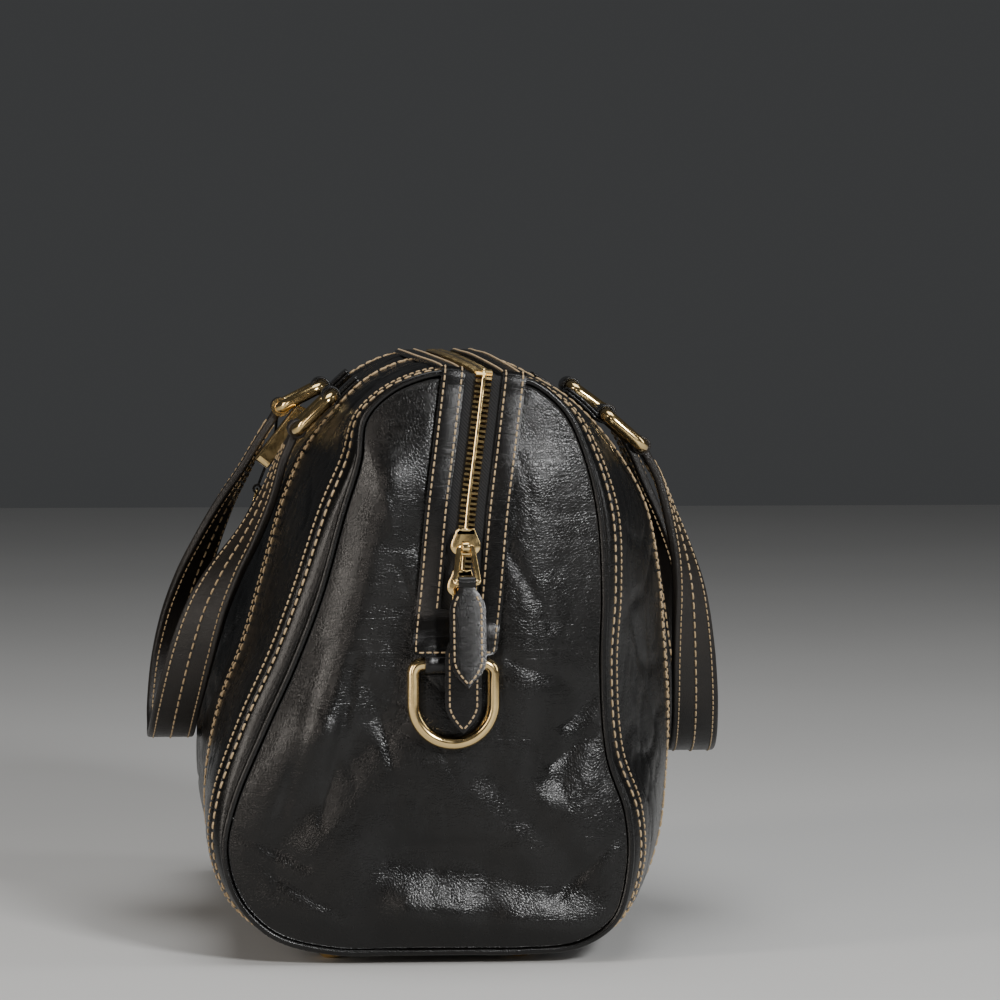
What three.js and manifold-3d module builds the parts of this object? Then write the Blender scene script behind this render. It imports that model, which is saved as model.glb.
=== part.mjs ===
// A boston bag in soft black leather, resting on four brass feet.
// X runs along the bag, +X is the end where the zip is pulled shut, -Y is the front, Z is up.
// Lengths are in millimetres.

import * as THREE from 'three';
import { mergeVertices } from 'three/addons/utils/BufferGeometryUtils.js';
import Module from 'manifold-3d';

const wasm = await Module();
wasm.setup();

// Body of the bag
const length = 350;
const bodyHeight = 260;
const endHalfWidth = 90;
const midHalfWidth = 110;
const seamSpacing = 150;
const bandWidth = 12;
const endLean = 5;
const endDome = 9;
const leather = 1.8;
const pipingRadius = 1.6;
const clearance = 0.3;
const cutterOverrun = 2;

// Feet
const footHeight = 5.5;
const footRadius = 6.25;
const footFlatRadius = 2.5;
const footSpacingLong = 300;
const footSpacingAcross = 84;

// Zip
const zipSlotWidth = 16.5;
const zipStripWidth = 10.5;
const zipStripThickness = 1.8;
const zipTapeWidth = 19.4;
const zipTapeThickness = 0.8;
const zipChainWidth = 7.5;
const zipChainThickness = 2.2;
const zipCutWidth = 20;
const zipTopTilt = 5;
const zipDrop = 103;
const zipTabWidth = 25;
const zipTabRun = 22;
const zipTabTail = 9;
const zipSeat = 0.8;

// Zip sliders, pull frames and leather pull tabs
const sliderLength = 11.5;
const sliderWidth = 12.8;
const sliderTailWidth = 8.4;
const sliderShoulderShare = 0.3;
const sliderPlate = 1.8;
const sliderFromSlotEnd = 31.5;
const sliderStep = 18;
const bridgeHole = 1.5;
const bridgeWall = 1.1;
const bridgeWidth = 3.2;
const bridgeBelowMiddle = 2.5;
const bridgeRoot = 0.6;
const sliderSeat = 0.5;
const pullLength = 19;
const pullTopWidth = 7.5;
const pullBottomWidth = 12;
const pullBar = 1.8;
const tabLength = 47;
const tabWidth = 16;
const tabNeckWidth = 7.6;
const tabNeckLength = 4;
const tabShoulder = 14;
const tabPoint = 9;
const tabThickness = 3;
const tabEyeWall = 1.3;

// Ring that hangs from each end of the zip
const endRingWire = 2.85;
const endRingWidth = 41.3;
const endRingReach = 35.2;

// Handles, their oval rings and the leather loops that hold the rings
const handleSpan = 122;
const strapWidth = 22;
const strapThickness = 4;
const strapEdge = 0.8;
const handleDrop = 146;
const strapRest = 2;
const ringWire = 2.65;
const ringReach = 22;
const ringInnerWidth = 32;
const ringCorner = 4.5;
const loopPly = 1.5;
const loopEdge = 0.2;
const loopTailStations = 0.7;
const loopSeat = 0.8;

// Lock and key
const lockLength = 32;
const lockWidth = 24;
const lockThickness = 7.3;
const lockCorner = 3;
const lockLean = 52;
const lockRise = -2;
const shackleWidth = 2.6;
const shackleWall = 1.7;
const shackleReach = 10;
const shackleGap = 0.5;
const shackleRoot = 0.7;
const keyStrapWidth = 2.8;
const keyStrapThickness = 1.2;
const keyStrapEdge = 0.2;
const keyStrapGap = 0.6;
const keyStrapLength = 42;
const keyRingRadius = 5.3;
const keyRingWire = 0.6;
const keyHangLean = 15;
const keyStrapBow = 2;

// Materials
function finish(color, roughness, metalness) {
  return new THREE.MeshStandardMaterial({ color, roughness, metalness });
}
const blackLeather = finish(0x141210, 0.35, 0);
const smoothLeather = finish(0x0e0d0c, 0.3, 0);
const brass = finish(0xc9a45a, 0.2, 1);
const blackTape = finish(0x0b0b0b, 0.9, 0);

// The group of pieces that the bag is
const bag = new THREE.Group();

function addPiece(name, geometry, material) {
  const piece = new THREE.Mesh(geometry, material);
  piece.name = name;
  bag.add(piece);
  return piece;
}

// Closed meshes from lists of points and faces

function signedVolume(points, faces) {
  let volume = 0;
  for (const [a, b, c] of faces) {
    volume += points[a].dot(points[b].clone().cross(points[c])) / 6;
  }
  return volume;
}

function closedMesh(points, faces) {
  const outward = signedVolume(points, faces) > 0;
  const index = faces.flatMap(([a, b, c]) => (outward ? [a, b, c] : [a, c, b]));
  const geometry = new THREE.BufferGeometry().setFromPoints(points);
  geometry.setIndex(index);
  geometry.computeVertexNormals();
  return geometry;
}

function mirroredInX(geometry) {
  const copy = geometry.clone();
  copy.scale(-1, 1, 1);
  const index = copy.index.array;
  for (let i = 0; i < index.length; i += 3) {
    [index[i + 1], index[i + 2]] = [index[i + 2], index[i + 1]];
  }
  copy.computeVertexNormals();
  return copy;
}

// A wall between two grids of points, open where a cell is absent
function wall(inner, outer, present = () => true) {
  const rows = inner.length;
  const columns = inner[0].length;
  const points = [...inner.flat(), ...outer.flat()];
  const offset = rows * columns;
  const faces = [];
  const quad = (a, b, c, d) => faces.push([a, b, c], [a, c, d]);
  const has = (r, c) => r >= 0 && c >= 0 && r < rows - 1 && c < columns - 1 && present(r, c);
  const at = (r, c) => r * columns + c;
  for (let r = 0; r < rows - 1; r++) {
    for (let c = 0; c < columns - 1; c++) {
      if (!has(r, c)) continue;
      const corners = [at(r, c), at(r + 1, c), at(r + 1, c + 1), at(r, c + 1)];
      const [a, b, d, e] = corners;
      quad(a, b, d, e);
      quad(offset + a, offset + e, offset + d, offset + b);
      const side = (p, q) => quad(q, p, offset + p, offset + q);
      if (!has(r, c - 1)) side(a, b);
      if (!has(r + 1, c)) side(b, d);
      if (!has(r, c + 1)) side(d, e);
      if (!has(r - 1, c)) side(e, a);
    }
  }
  return closedMesh(points, faces);
}

// A section of [a, b] points carried along frames that hold a place and two directions
function sweep(frames, section, closed = false) {
  const sides = section.length;
  const points = frames.flatMap(({ place, across, up }) =>
    section.map(([a, b]) => place.clone().addScaledVector(across, a).addScaledVector(up, b)));
  const faces = [];
  const steps = closed ? frames.length : frames.length - 1;
  for (let i = 0; i < steps; i++) {
    const here = i * sides;
    const next = ((i + 1) % frames.length) * sides;
    for (let j = 0; j < sides; j++) {
      const k = (j + 1) % sides;
      faces.push([here + j, next + j, next + k], [here + j, next + k, here + k]);
    }
  }
  if (!closed) {
    const last = (frames.length - 1) * sides;
    for (let j = 1; j < sides - 1; j++) {
      faces.push([0, j, j + 1], [last, last + j + 1, last + j]);
    }
  }
  return closedMesh(points, faces);
}

function circleSection(radius, sides) {
  return Array.from({ length: sides }, (_, i) => {
    const angle = (2 * Math.PI * (i + 0.5)) / sides;
    return [radius * Math.cos(angle), radius * Math.sin(angle)];
  });
}

function flatSection(width, thickness, edge) {
  const w = width / 2;
  const t = thickness / 2;
  return [
    [w - edge, -t], [w, -t + edge], [w, t - edge], [w - edge, t],
    [edge - w, t], [-w, t - edge], [-w, edge - t], [edge - w, -t],
  ];
}

// Frames along a path whose sections keep one direction in view
function framesAlong(points, keep, closed = false) {
  const n = points.length;
  return points.map((place, i) => {
    const before = points[closed ? (i + n - 1) % n : Math.max(i - 1, 0)];
    const after = points[closed ? (i + 1) % n : Math.min(i + 1, n - 1)];
    const along = after.clone().sub(before).normalize();
    const wish = typeof keep === 'function' ? keep(i) : keep;
    const across = wish.clone().addScaledVector(along, -wish.dot(along)).normalize();
    return { place, across, up: along.clone().cross(across) };
  });
}

// Cutting and joining of closed meshes
function toSolid(geometry) {
  const bare = geometry.clone();
  bare.deleteAttribute('normal');
  bare.deleteAttribute('uv');
  const merged = mergeVertices(bare, 1e-4);
  return new wasm.Manifold(new wasm.Mesh({
    numProp: 3,
    vertProperties: new Float32Array(merged.attributes.position.array),
    triVerts: new Uint32Array(merged.index.array),
  }));
}

function fromSolid(solid) {
  const { vertProperties, triVerts } = solid.getMesh();
  const geometry = new THREE.BufferGeometry();
  geometry.setAttribute('position', new THREE.BufferAttribute(new Float32Array(vertProperties), 3));
  geometry.setIndex([...triVerts]);
  geometry.computeVertexNormals();
  return geometry;
}

function joined(geometries) {
  return fromSolid(geometries.map(toSolid).reduce((a, b) => a.add(b)));
}

function cut(geometry, cutters) {
  return fromSolid(cutters.map(toSolid).reduce((a, b) => a.subtract(b), toSolid(geometry)));
}

// An outline drawn in the YZ plane and given a depth along X, from x upward
function extrudedAlongX(shape, x, depth) {
  const geometry = new THREE.ExtrudeGeometry(shape, { depth, bevelEnabled: false, curveSegments: 6 });
  const turn = new THREE.Matrix4().makeBasis(
    new THREE.Vector3(0, 1, 0), new THREE.Vector3(0, 0, 1), new THREE.Vector3(1, 0, 0));
  geometry.applyMatrix4(turn);
  geometry.translate(x, 0, 0);
  return geometry;
}

// A round bar along X
function barAlongX(center, radius, width, sides = 12) {
  const geometry = new THREE.CylinderGeometry(radius, radius, width, sides);
  geometry.rotateZ(Math.PI / 2);
  geometry.translate(center.x, center.y, center.z);
  return geometry;
}

// Outline of the body, from the front edge of the zip slot down, under the base and up the back.
// Across is a share of the half width, up a share of the body's height, both from the base's middle.
// Band out is how far the band seam stands outside the end's outline, as a share of the band.
const outlineColumns = ['end across', 'end up', 'band out', 'seam across', 'seam up', 'mid across', 'mid up'];
const outlineRows = {
  'top edge front': [-0.178, 0.954, 0.15, -0.20, 0.968, -0.20, 0.955],
  'shoulder front': [-0.311, 0.906, 0.25, -0.327, 0.918, -0.36, 0.892],
  'neck front': [-0.339, 0.837, 0.45, -0.46, 0.845, -0.505, 0.822],
  'upper front': [-0.417, 0.748, 0.65, -0.555, 0.755, -0.64, 0.748],
  'chest front': [-0.533, 0.606, 0.80, -0.645, 0.62, -0.785, 0.625],
  'waist front': [-0.661, 0.490, 0.80, -0.727, 0.50, -0.868, 0.498],
  'side front': [-0.811, 0.375, 0.80, -0.823, 0.394, -0.90, 0.383],
  'belly front': [-0.961, 0.248, 0.65, -0.882, 0.267, -0.909, 0.267],
  'low front': [-1.0, 0.171, 0.45, -0.877, 0.171, -0.882, 0.171],
  'foot front': [-0.933, 0.090, 0.30, -0.818, 0.087, -0.818, 0.087],
  'corner front': [-0.756, 0.029, 0.12, -0.69, 0.027, -0.69, 0.027],
  'base front': [-0.467, 0.002, 0, -0.436, 0, -0.455, 0],
  'base middle front': [-0.15, 0, 0, -0.13, 0, -0.13, 0],
  'base middle back': [0.15, 0, 0, 0.13, 0, 0.13, 0],
  'base back': [0.467, 0, 0, 0.473, 0, 0.49, 0],
  'corner back': [0.744, 0.010, 0.10, 0.764, 0.010, 0.818, 0.010],
  'foot back': [0.922, 0.052, 0.30, 0.936, 0.063, 0.973, 0.063],
  'low back': [0.994, 0.140, 0.50, 1.018, 0.152, 1.059, 0.152],
  'belly back': [0.983, 0.233, 0.50, 1.05, 0.267, 1.095, 0.267],
  'side back': [0.894, 0.329, 0.45, 1.059, 0.383, 1.105, 0.375],
  'waist back': [0.862, 0.479, 0.45, 1.041, 0.51, 1.091, 0.506],
  'chest back': [0.870, 0.613, 0.55, 1.018, 0.625, 1.068, 0.625],
  'upper back': [0.850, 0.740, 0.60, 0.964, 0.74, 0.982, 0.74],
  'neck back': [0.789, 0.837, 0.45, 0.836, 0.84, 0.845, 0.84],
  'shoulder back': [0.700, 0.910, 0.30, 0.655, 0.925, 0.673, 0.921],
  'top edge back': [0.606, 0.946, 0.15, 0.482, 0.971, 0.491, 0.969],
};

// Middle of the zip where it crosses each section of the body
const zipCrossing = {
  end: { across: 0.274, up: 0.975, tilt: zipTopTilt },
  band: { across: 0.262, up: 0.981, tilt: zipTopTilt },
  seam: { across: 0.15, up: 0.998, tilt: 0 },
  mid: { across: 0.14, up: 1, tilt: 0 },
};

const halfLength = length / 2;
const zipHalfWidth = zipSlotWidth / 2 + zipStripWidth;
const zipFlatHalf = zipHalfWidth + 2;

function point(x, y, z) {
  return new THREE.Vector3(x, y, z);
}

function endPlaneX(z) {
  return halfLength - (endLean * (z - footHeight)) / bodyHeight;
}

function radians(degrees) {
  return (degrees * Math.PI) / 180;
}

// Control points of one section, at x from a function of the height
function sectionPoints(kind, xOf) {
  const halfWidth = kind === 'end' || kind === 'band' ? endHalfWidth : midHalfWidth;
  const shareKind = kind === 'band' ? 'end' : kind;
  const a = outlineColumns.indexOf(`${shareKind} across`);
  const u = outlineColumns.indexOf(`${shareKind} up`);
  const out = outlineColumns.indexOf('band out');
  const rows = Object.values(outlineRows);
  const flat = rows.map((row) => [row[a] * halfWidth, footHeight + row[u] * bodyHeight]);
  const placed = rows.map((row, i) => {
    let [y, z] = flat[i];
    let x = xOf(z);
    if (kind === 'band') {
      const [y0, z0] = flat[Math.max(i - 1, 0)];
      const [y1, z1] = flat[Math.min(i + 1, flat.length - 1)];
      const run = Math.hypot(y1 - y0, z1 - z0);
      const step = row[out] * bandWidth;
      y += (step * (z1 - z0)) / run;
      z -= (step * (y1 - y0)) / run;
      x = xOf(z) - Math.sqrt(bandWidth ** 2 - step ** 2);
    }
    return point(x, y, z);
  });
  const { across, up, tilt } = zipCrossing[kind];
  const edge = (offset) => {
    const z = footHeight + up * bodyHeight - offset * Math.sin(radians(tilt));
    const x = kind === 'band' ? xOf(z) - bandWidth : xOf(z);
    return point(x, across * halfWidth + offset * Math.cos(radians(tilt)), z);
  };
  return [
    edge(-zipCutWidth / 2), edge(-zipFlatHalf), ...placed, edge(zipFlatHalf), edge(zipCutWidth / 2),
  ];
}

function smooth(points) {
  return new THREE.CatmullRomCurve3(points, false, 'centripetal');
}

const nearSections = [
  sectionPoints('end', endPlaneX),
  sectionPoints('band', endPlaneX),
  sectionPoints('seam', () => seamSpacing / 2),
];
const farSections = nearSections.map((row) => row.map((p) => point(-p.x, p.y, p.z))).reverse();
const sections = [...nearSections, sectionPoints('mid', () => 0), ...farSections];
const sectionCurves = sections.map(smooth);
const lastStation = sections[0].length - 1;
const atEnd = 0;
const atBand = 1;
const atSeam = 2;
const atMid = 3;
const lastSection = sections.length - 1;

// A point of the body's leather: v counts sections along the bag, s stations round it
function bodyPoint(v, s) {
  const along = sectionCurves.map((curve) => curve.getPoint(s / lastStation));
  return smooth(along).getPoint(v / lastSection);
}

function bodyNormal(v, s) {
  const h = 0.02;
  const alongX = bodyPoint(Math.min(v + h, lastSection), s).sub(bodyPoint(Math.max(v - h, 0), s));
  const around = bodyPoint(v, Math.min(s + h, lastStation)).sub(bodyPoint(v, Math.max(s - h, 0)));
  return alongX.cross(around).normalize();
}

// Section number that lies at x, for the stretch of the bag between its band seams
function sectionAt(x, s) {
  let low = atBand;
  let high = lastSection - atBand;
  for (let i = 0; i < 24; i++) {
    const middle = (low + high) / 2;
    if (bodyPoint(middle, s).x > x) low = middle;
    else high = middle;
  }
  return (low + high) / 2;
}

// A panel of the body's wall, from v0 to v1 in a number of steps
function bodyPanel(v0, v1, steps) {
  const inner = [];
  const outer = [];
  for (let i = 0; i <= steps; i++) {
    const v = v0 + ((v1 - v0) * i) / steps;
    const stations = Array.from({ length: lastStation + 1 }, (_, s) => s);
    outer.push(stations.map((s) => bodyPoint(v, s)));
    inner.push(stations.map((s) => bodyPoint(v, s).addScaledVector(bodyNormal(v, s), -leather)));
  }
  return wall(inner, outer);
}

// Half of the gap between two panels, counted in sections
const sideRun = (length - seamSpacing) / 2 - bandWidth;
const gapInBand = clearance / 2 / bandWidth;
const gapInSide = clearance / 2 / sideRun;
const gapInCentre = clearance / (seamSpacing / 2) / 2;
const pipingRoom = (pipingRadius + clearance) / bandWidth;

const bandShape = bodyPanel(atEnd + pipingRoom, atBand - gapInBand, 2);
const sideShape = bodyPanel(atBand + gapInSide, atSeam - gapInSide, 4);
const centreShape = bodyPanel(atSeam + gapInCentre, lastSection - atSeam - gapInCentre, 6);
addPiece('centre_panel', centreShape, blackLeather);
addPiece('side_panel_near', sideShape, blackLeather);
addPiece('side_panel_far', mirroredInX(sideShape), blackLeather);
addPiece('end_band_near', bandShape, smoothLeather);
addPiece('end_band_far', mirroredInX(bandShape), smoothLeather);

// Piping between each end panel and its band
const endStations = Array.from({ length: lastStation + 1 }, (_, s) => bodyPoint(atEnd, s));
const pipingShape = sweep(
  framesAlong(endStations, point(1, 0, 0)), circleSection(pipingRadius, 6));
addPiece('piping_near', pipingShape, smoothLeather);
addPiece('piping_far', mirroredInX(pipingShape), smoothLeather);

// End panels: a sheet that domes outward and carries the soft folds of the leather.
// Places are shares of the end's half width and of the body's height, width of the half width,
// and rise of the dome's height.
const foldRows = [
  { name: 'long ridge in front of the zip', from: [-0.23, 0.80], to: [-0.55, 0.38], width: 0.15, rise: 0.42 },
  { name: 'hollow in front of the zip', from: [-0.03, 0.70], to: [-0.20, 0.40], width: 0.13, rise: -0.26 },
  { name: 'ridge behind the zip', from: [0.52, 0.80], to: [0.50, 0.45], width: 0.16, rise: 0.22 },
  { name: 'dent at the back edge', from: [0.76, 0.42], to: [0.62, 0.30], width: 0.12, rise: -0.40 },
  { name: 'crease towards the back corner', from: [0.30, 0.30], to: [0.72, 0.14], width: 0.10, rise: -0.25 },
  { name: 'low fold above the base', from: [-0.45, 0.15], to: [0.60, 0.13], width: 0.16, rise: 0.40 },
  { name: 'hollow above the low fold', from: [-0.35, 0.24], to: [0.35, 0.22], width: 0.13, rise: -0.28 },
];
const panelCentre = [0.1 * endHalfWidth, footHeight + 0.42 * bodyHeight];
const rimLift = 0.6;
const rimFade = 6;
const domePower = 2.5;
const rimPoints = [
  ...endStations,
  ...[1, 2].map((i) => endStations[lastStation].clone().lerp(endStations[0], i / 3)),
];

// How far (y, z) lies from the panel's centre, as a share of the way to its rim
function rimShare(y, z) {
  const dy = y - panelCentre[0];
  const dz = z - panelCentre[1];
  for (let i = 0; i < rimPoints.length; i++) {
    const a = rimPoints[i];
    const b = rimPoints[(i + 1) % rimPoints.length];
    const ay = a.y - panelCentre[0];
    const az = a.z - panelCentre[1];
    const ey = b.y - a.y;
    const ez = b.z - a.z;
    const cross = dy * ez - dz * ey;
    const reach = (ay * ez - az * ey) / cross;
    const along = (ay * dz - az * dy) / cross;
    if (reach > 0 && along >= 0 && along <= 1) return 1 / reach;
  }
  return 0;
}

function foldHeight(y, z) {
  return foldRows.reduce((sum, { from, to, width, rise }) => {
    const [y0, y1] = [from[0], to[0]].map((share) => share * endHalfWidth);
    const [z0, z1] = [from[1], to[1]].map((share) => footHeight + share * bodyHeight);
    const span = (y1 - y0) ** 2 + (z1 - z0) ** 2;
    const t = Math.min(Math.max(((y - y0) * (y1 - y0) + (z - z0) * (z1 - z0)) / span, 0), 1);
    const off = Math.hypot(y - y0 - t * (y1 - y0), z - z0 - t * (z1 - z0)) / (width * endHalfWidth);
    return sum + rise * endDome * Math.exp(-off * off);
  }, 0);
}

function endPanelX(y, z) {
  const share = Math.min(rimShare(y, z), 1);
  const dome = endDome * (1 - share ** domePower);
  return endPlaneX(z) + rimLift + dome + foldHeight(y, z) * (1 - share ** rimFade);
}

function onEndPanel(y, z, lift) {
  return point(endPanelX(y, z) + lift, y, z);
}

// Line of the zip down the end panel, as shares of the height and of the end's half width
const zipFall = smooth([
  [0.36, 0.085], [0.507, 0.118], [0.600, 0.150], [0.756, 0.192], [0.863, 0.232], [0.975, 0.274],
].map(([up, across]) => point(0, across * endHalfWidth, footHeight + up * bodyHeight)));

function zipLineAt(z) {
  let low = 0;
  let high = 1;
  for (let i = 0; i < 30; i++) {
    const middle = (low + high) / 2;
    if (zipFall.getPoint(middle).z < z) low = middle;
    else high = middle;
  }
  return zipFall.getPoint(low).y;
}

function zipSideAt(z) {
  const h = 2;
  const run = point(0, zipLineAt(z + h) - zipLineAt(z - h), 2 * h).normalize();
  return point(0, run.z, -run.y);
}

const zipTopZ = footHeight + zipCrossing.end.up * bodyHeight;
const slotEndZ = zipTopZ - zipDrop;
const slotEndRoom = 1.5;
const cutEndZ = slotEndZ - slotEndRoom;
const cutterDepth = 8;
const cutterAbove = 12;

function endPanelShape() {
  const shares = [1, 0.92, 0.78, 0.58, 0.32];
  const n = rimPoints.length;
  const inset = pipingRadius + clearance;
  const rim = rimPoints.map((p, i) => {
    const before = rimPoints[(i + n - 1) % n];
    const after = rimPoints[(i + 1) % n];
    const run = Math.hypot(after.y - before.y, after.z - before.z);
    return [p.y - (inset * (after.z - before.z)) / run, p.z + (inset * (after.y - before.y)) / run];
  });
  const ring = (share, lift) => rim.map(([rimY, rimZ]) => onEndPanel(
    panelCentre[0] + (rimY - panelCentre[0]) * share,
    panelCentre[1] + (rimZ - panelCentre[1]) * share,
    lift,
  ));
  const points = [];
  for (const lift of [0, -leather]) {
    points.push(...shares.flatMap((share) => ring(share, lift)));
    points.push(onEndPanel(panelCentre[0], panelCentre[1], lift));
  }
  const layer = shares.length * n + 1;
  const faces = [];
  for (const [base, flip] of [[0, false], [layer, true]]) {
    const add = (a, b, c) => faces.push(flip ? [a, c, b] : [a, b, c]);
    for (let k = 0; k < shares.length; k++) {
      for (let i = 0; i < n; i++) {
        const j = (i + 1) % n;
        const a = base + k * n + i;
        const b = base + k * n + j;
        if (k === shares.length - 1) {
          add(a, b, base + layer - 1);
        } else {
          add(a, b, b + n);
          add(a, b + n, a + n);
        }
      }
    }
  }
  for (let i = 0; i < n; i++) {
    const j = (i + 1) % n;
    faces.push([j, i, layer + i], [j, layer + i, layer + j]);
  }
  return closedMesh(points, faces);
}

function slotCutter() {
  const steps = 8;
  const heights = Array.from(
    { length: steps + 1 }, (_, i) => cutEndZ + ((zipTopZ + cutterAbove - cutEndZ) * i) / steps);
  const frames = heights.map((z) => {
    const level = Math.min(z, zipTopZ);
    return {
      place: point(endPanelX(zipLineAt(level), level), zipLineAt(level), z),
      across: zipSideAt(level),
      up: point(1, 0, 0),
    };
  });
  const half = zipCutWidth / 2;
  const [d, w] = [cutterDepth, half];
  return sweep(frames, [[-w, -d], [w, -d], [w, d], [-w, d]]);
}

const panelShape = cut(endPanelShape(), [slotCutter()]);
addPiece('end_panel_near', panelShape, blackLeather);
addPiece('end_panel_far', mirroredInX(panelShape), blackLeather);

// Path of the zip from its lower end on the near panel to the middle of the top.
// Each row gives the underside of the leather strip at an offset across, and its outward direction.
const outX = point(1, 0, 0);

function rowOnPanel(z) {
  const side = zipSideAt(z);
  const y = zipLineAt(z);
  const at = (offset) => onEndPanel(y + side.y * offset, z + side.z * offset, zipSeat);
  return { at, out: outX };
}

function rowsOverPiping() {
  const reach = pipingRadius + clearance;
  const [front, back] = [endStations[0], endStations[lastStation]];
  const side = back.clone().sub(front).normalize();
  const middle = front.clone().lerp(back, 0.5);
  return [15, 52, 90].map((degrees) => {
    const out = point(Math.cos(radians(degrees)), 0, Math.sin(radians(degrees)));
    out.addScaledVector(side, -out.dot(side)).normalize();
    const at = (offset) => middle.clone().addScaledVector(side, offset).addScaledVector(out, reach);
    return { at, out };
  });
}

function rowOnTop(v) {
  const front = bodyPoint(v, 0);
  const back = bodyPoint(v, lastStation);
  const side = back.clone().sub(front).normalize();
  const middle = front.clone().lerp(back, 0.5);
  const along = bodyPoint(Math.min(v + 0.05, lastSection), 0).sub(bodyPoint(Math.max(v - 0.05, 0), 0));
  const out = along.cross(side).normalize();
  if (out.z < 0) out.negate();
  const at = (offset) => middle.clone().addScaledVector(side, offset).addScaledVector(out, clearance);
  return { at, out };
}

const panelRowHeights = Array.from({ length: 9 }, (_, i) => slotEndZ + ((zipTopZ - 5 - slotEndZ) * i) / 8);
const topRowSections = [0.45, 1, 1.25, 1.5, 1.75, 2, 2.35, 2.7, atMid];
const slotRows = [
  ...panelRowHeights.map(rowOnPanel),
  ...rowsOverPiping(),
  ...topRowSections.map(rowOnTop),
];

// Lower end of the strip: it folds round the straight bar of the end ring
const barZ = slotEndZ - zipTabRun;
const barY = zipLineAt(barZ);
const foldReach = endRingWire + clearance;
const panelAtBar = Math.max(...[-1, 0, 1].map((i) => endPanelX(barY + (i * zipTabWidth) / 2, barZ)));
const barX = panelAtBar + clearance + zipStripThickness + foldReach;

function rowRoundBar(degrees, rise = 0) {
  const out = point(Math.cos(radians(degrees)), 0, Math.sin(radians(degrees)));
  const at = (offset) => point(
    barX + foldReach * out.x, barY + offset, barZ + foldReach * out.z + rise);
  return { at, out, half: zipTabWidth / 2 };
}

const tabRows = [
  { ...rowRoundBar(180, zipTabTail) },
  ...[180, 225, 270, 315, 360, 395].map((degrees) => rowRoundBar(degrees)),
];
const rampTop = 3;
const rampRun = 9;
const rampRise = 2.2;
const rampInset = 1.5;
const ramp = { ...rowOnPanel(slotEndZ - rampTop), half: zipHalfWidth };
const rampStart = rowOnPanel(slotEndZ - rampRun);
const rampMiddle = {
  at: (offset) => rampStart.at(offset).add(point(rampRise, 0, 0)),
  out: outX,
  half: zipHalfWidth - rampInset,
};
const halfRows = [...tabRows, rampMiddle, ramp, ...slotRows];
const farRows = halfRows.slice(0, -1).reverse().map(({ at, out, half }) => ({
  at: (offset) => at(offset).multiply(point(-1, 1, 1)), out: point(-out.x, out.y, out.z), half,
}));
const surroundRows = [...halfRows, ...farRows];

function ribbon(rows, columnsOf, low, high, present) {
  const layer = (lift) => rows.map((row) =>
    columnsOf(row).map((offset) => row.at(offset).clone().addScaledVector(row.out, lift)));
  return wall(layer(low), layer(high), present);
}

const firstSlotRow = tabRows.length + 2;
const surround = ribbon(
  surroundRows,
  ({ half = zipHalfWidth }) => [-half, -zipSlotWidth / 2, zipSlotWidth / 2, half],
  0,
  zipStripThickness,
  (row, column) => column !== 1 || row < firstSlotRow || row >= surroundRows.length - 1 - firstSlotRow,
);
addPiece('zip_surround', surround, smoothLeather);

const slotPath = surroundRows.slice(firstSlotRow, surroundRows.length - firstSlotRow);
const tape = ribbon(
  slotPath, () => [-zipTapeWidth / 2, zipTapeWidth / 2], -clearance - zipTapeThickness, -clearance);
const chain = ribbon(
  slotPath, () => [-zipChainWidth / 2, zipChainWidth / 2], 0, zipChainThickness);
addPiece('zip_tape', tape, blackTape);
addPiece('zip_chain', chain, brass);

// Ring at each end of the zip: a straight bar in the strip's fold and a half round below it
function endRingShape() {
  const half = endRingWidth / 2 - endRingWire;
  const points = [];
  const legZ = barZ - (endRingReach - half);
  const corner = 1.5 * endRingWire;
  for (let i = 0; i <= 2; i++) {
    const angle = radians(45 * i);
    points.push([half - corner + corner * Math.sin(angle), barZ - corner + corner * Math.cos(angle)]);
  }
  for (let i = 0; i <= 10; i++) {
    const angle = radians(18 * i);
    points.push([half * Math.cos(angle), legZ - half * Math.sin(angle)]);
  }
  for (let i = 2; i >= 0; i--) {
    const angle = radians(45 * i);
    points.push([-half + corner - corner * Math.sin(angle), barZ - corner + corner * Math.cos(angle)]);
  }
  const path = points.map(([y, z]) => point(barX, barY + y, z));
  return sweep(framesAlong(path, point(1, 0, 0), true), circleSection(endRingWire, 8), true);
}
const endRing = endRingShape();
addPiece('ring_near', endRing, brass);
addPiece('ring_far', mirroredInX(endRing), brass);

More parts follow.
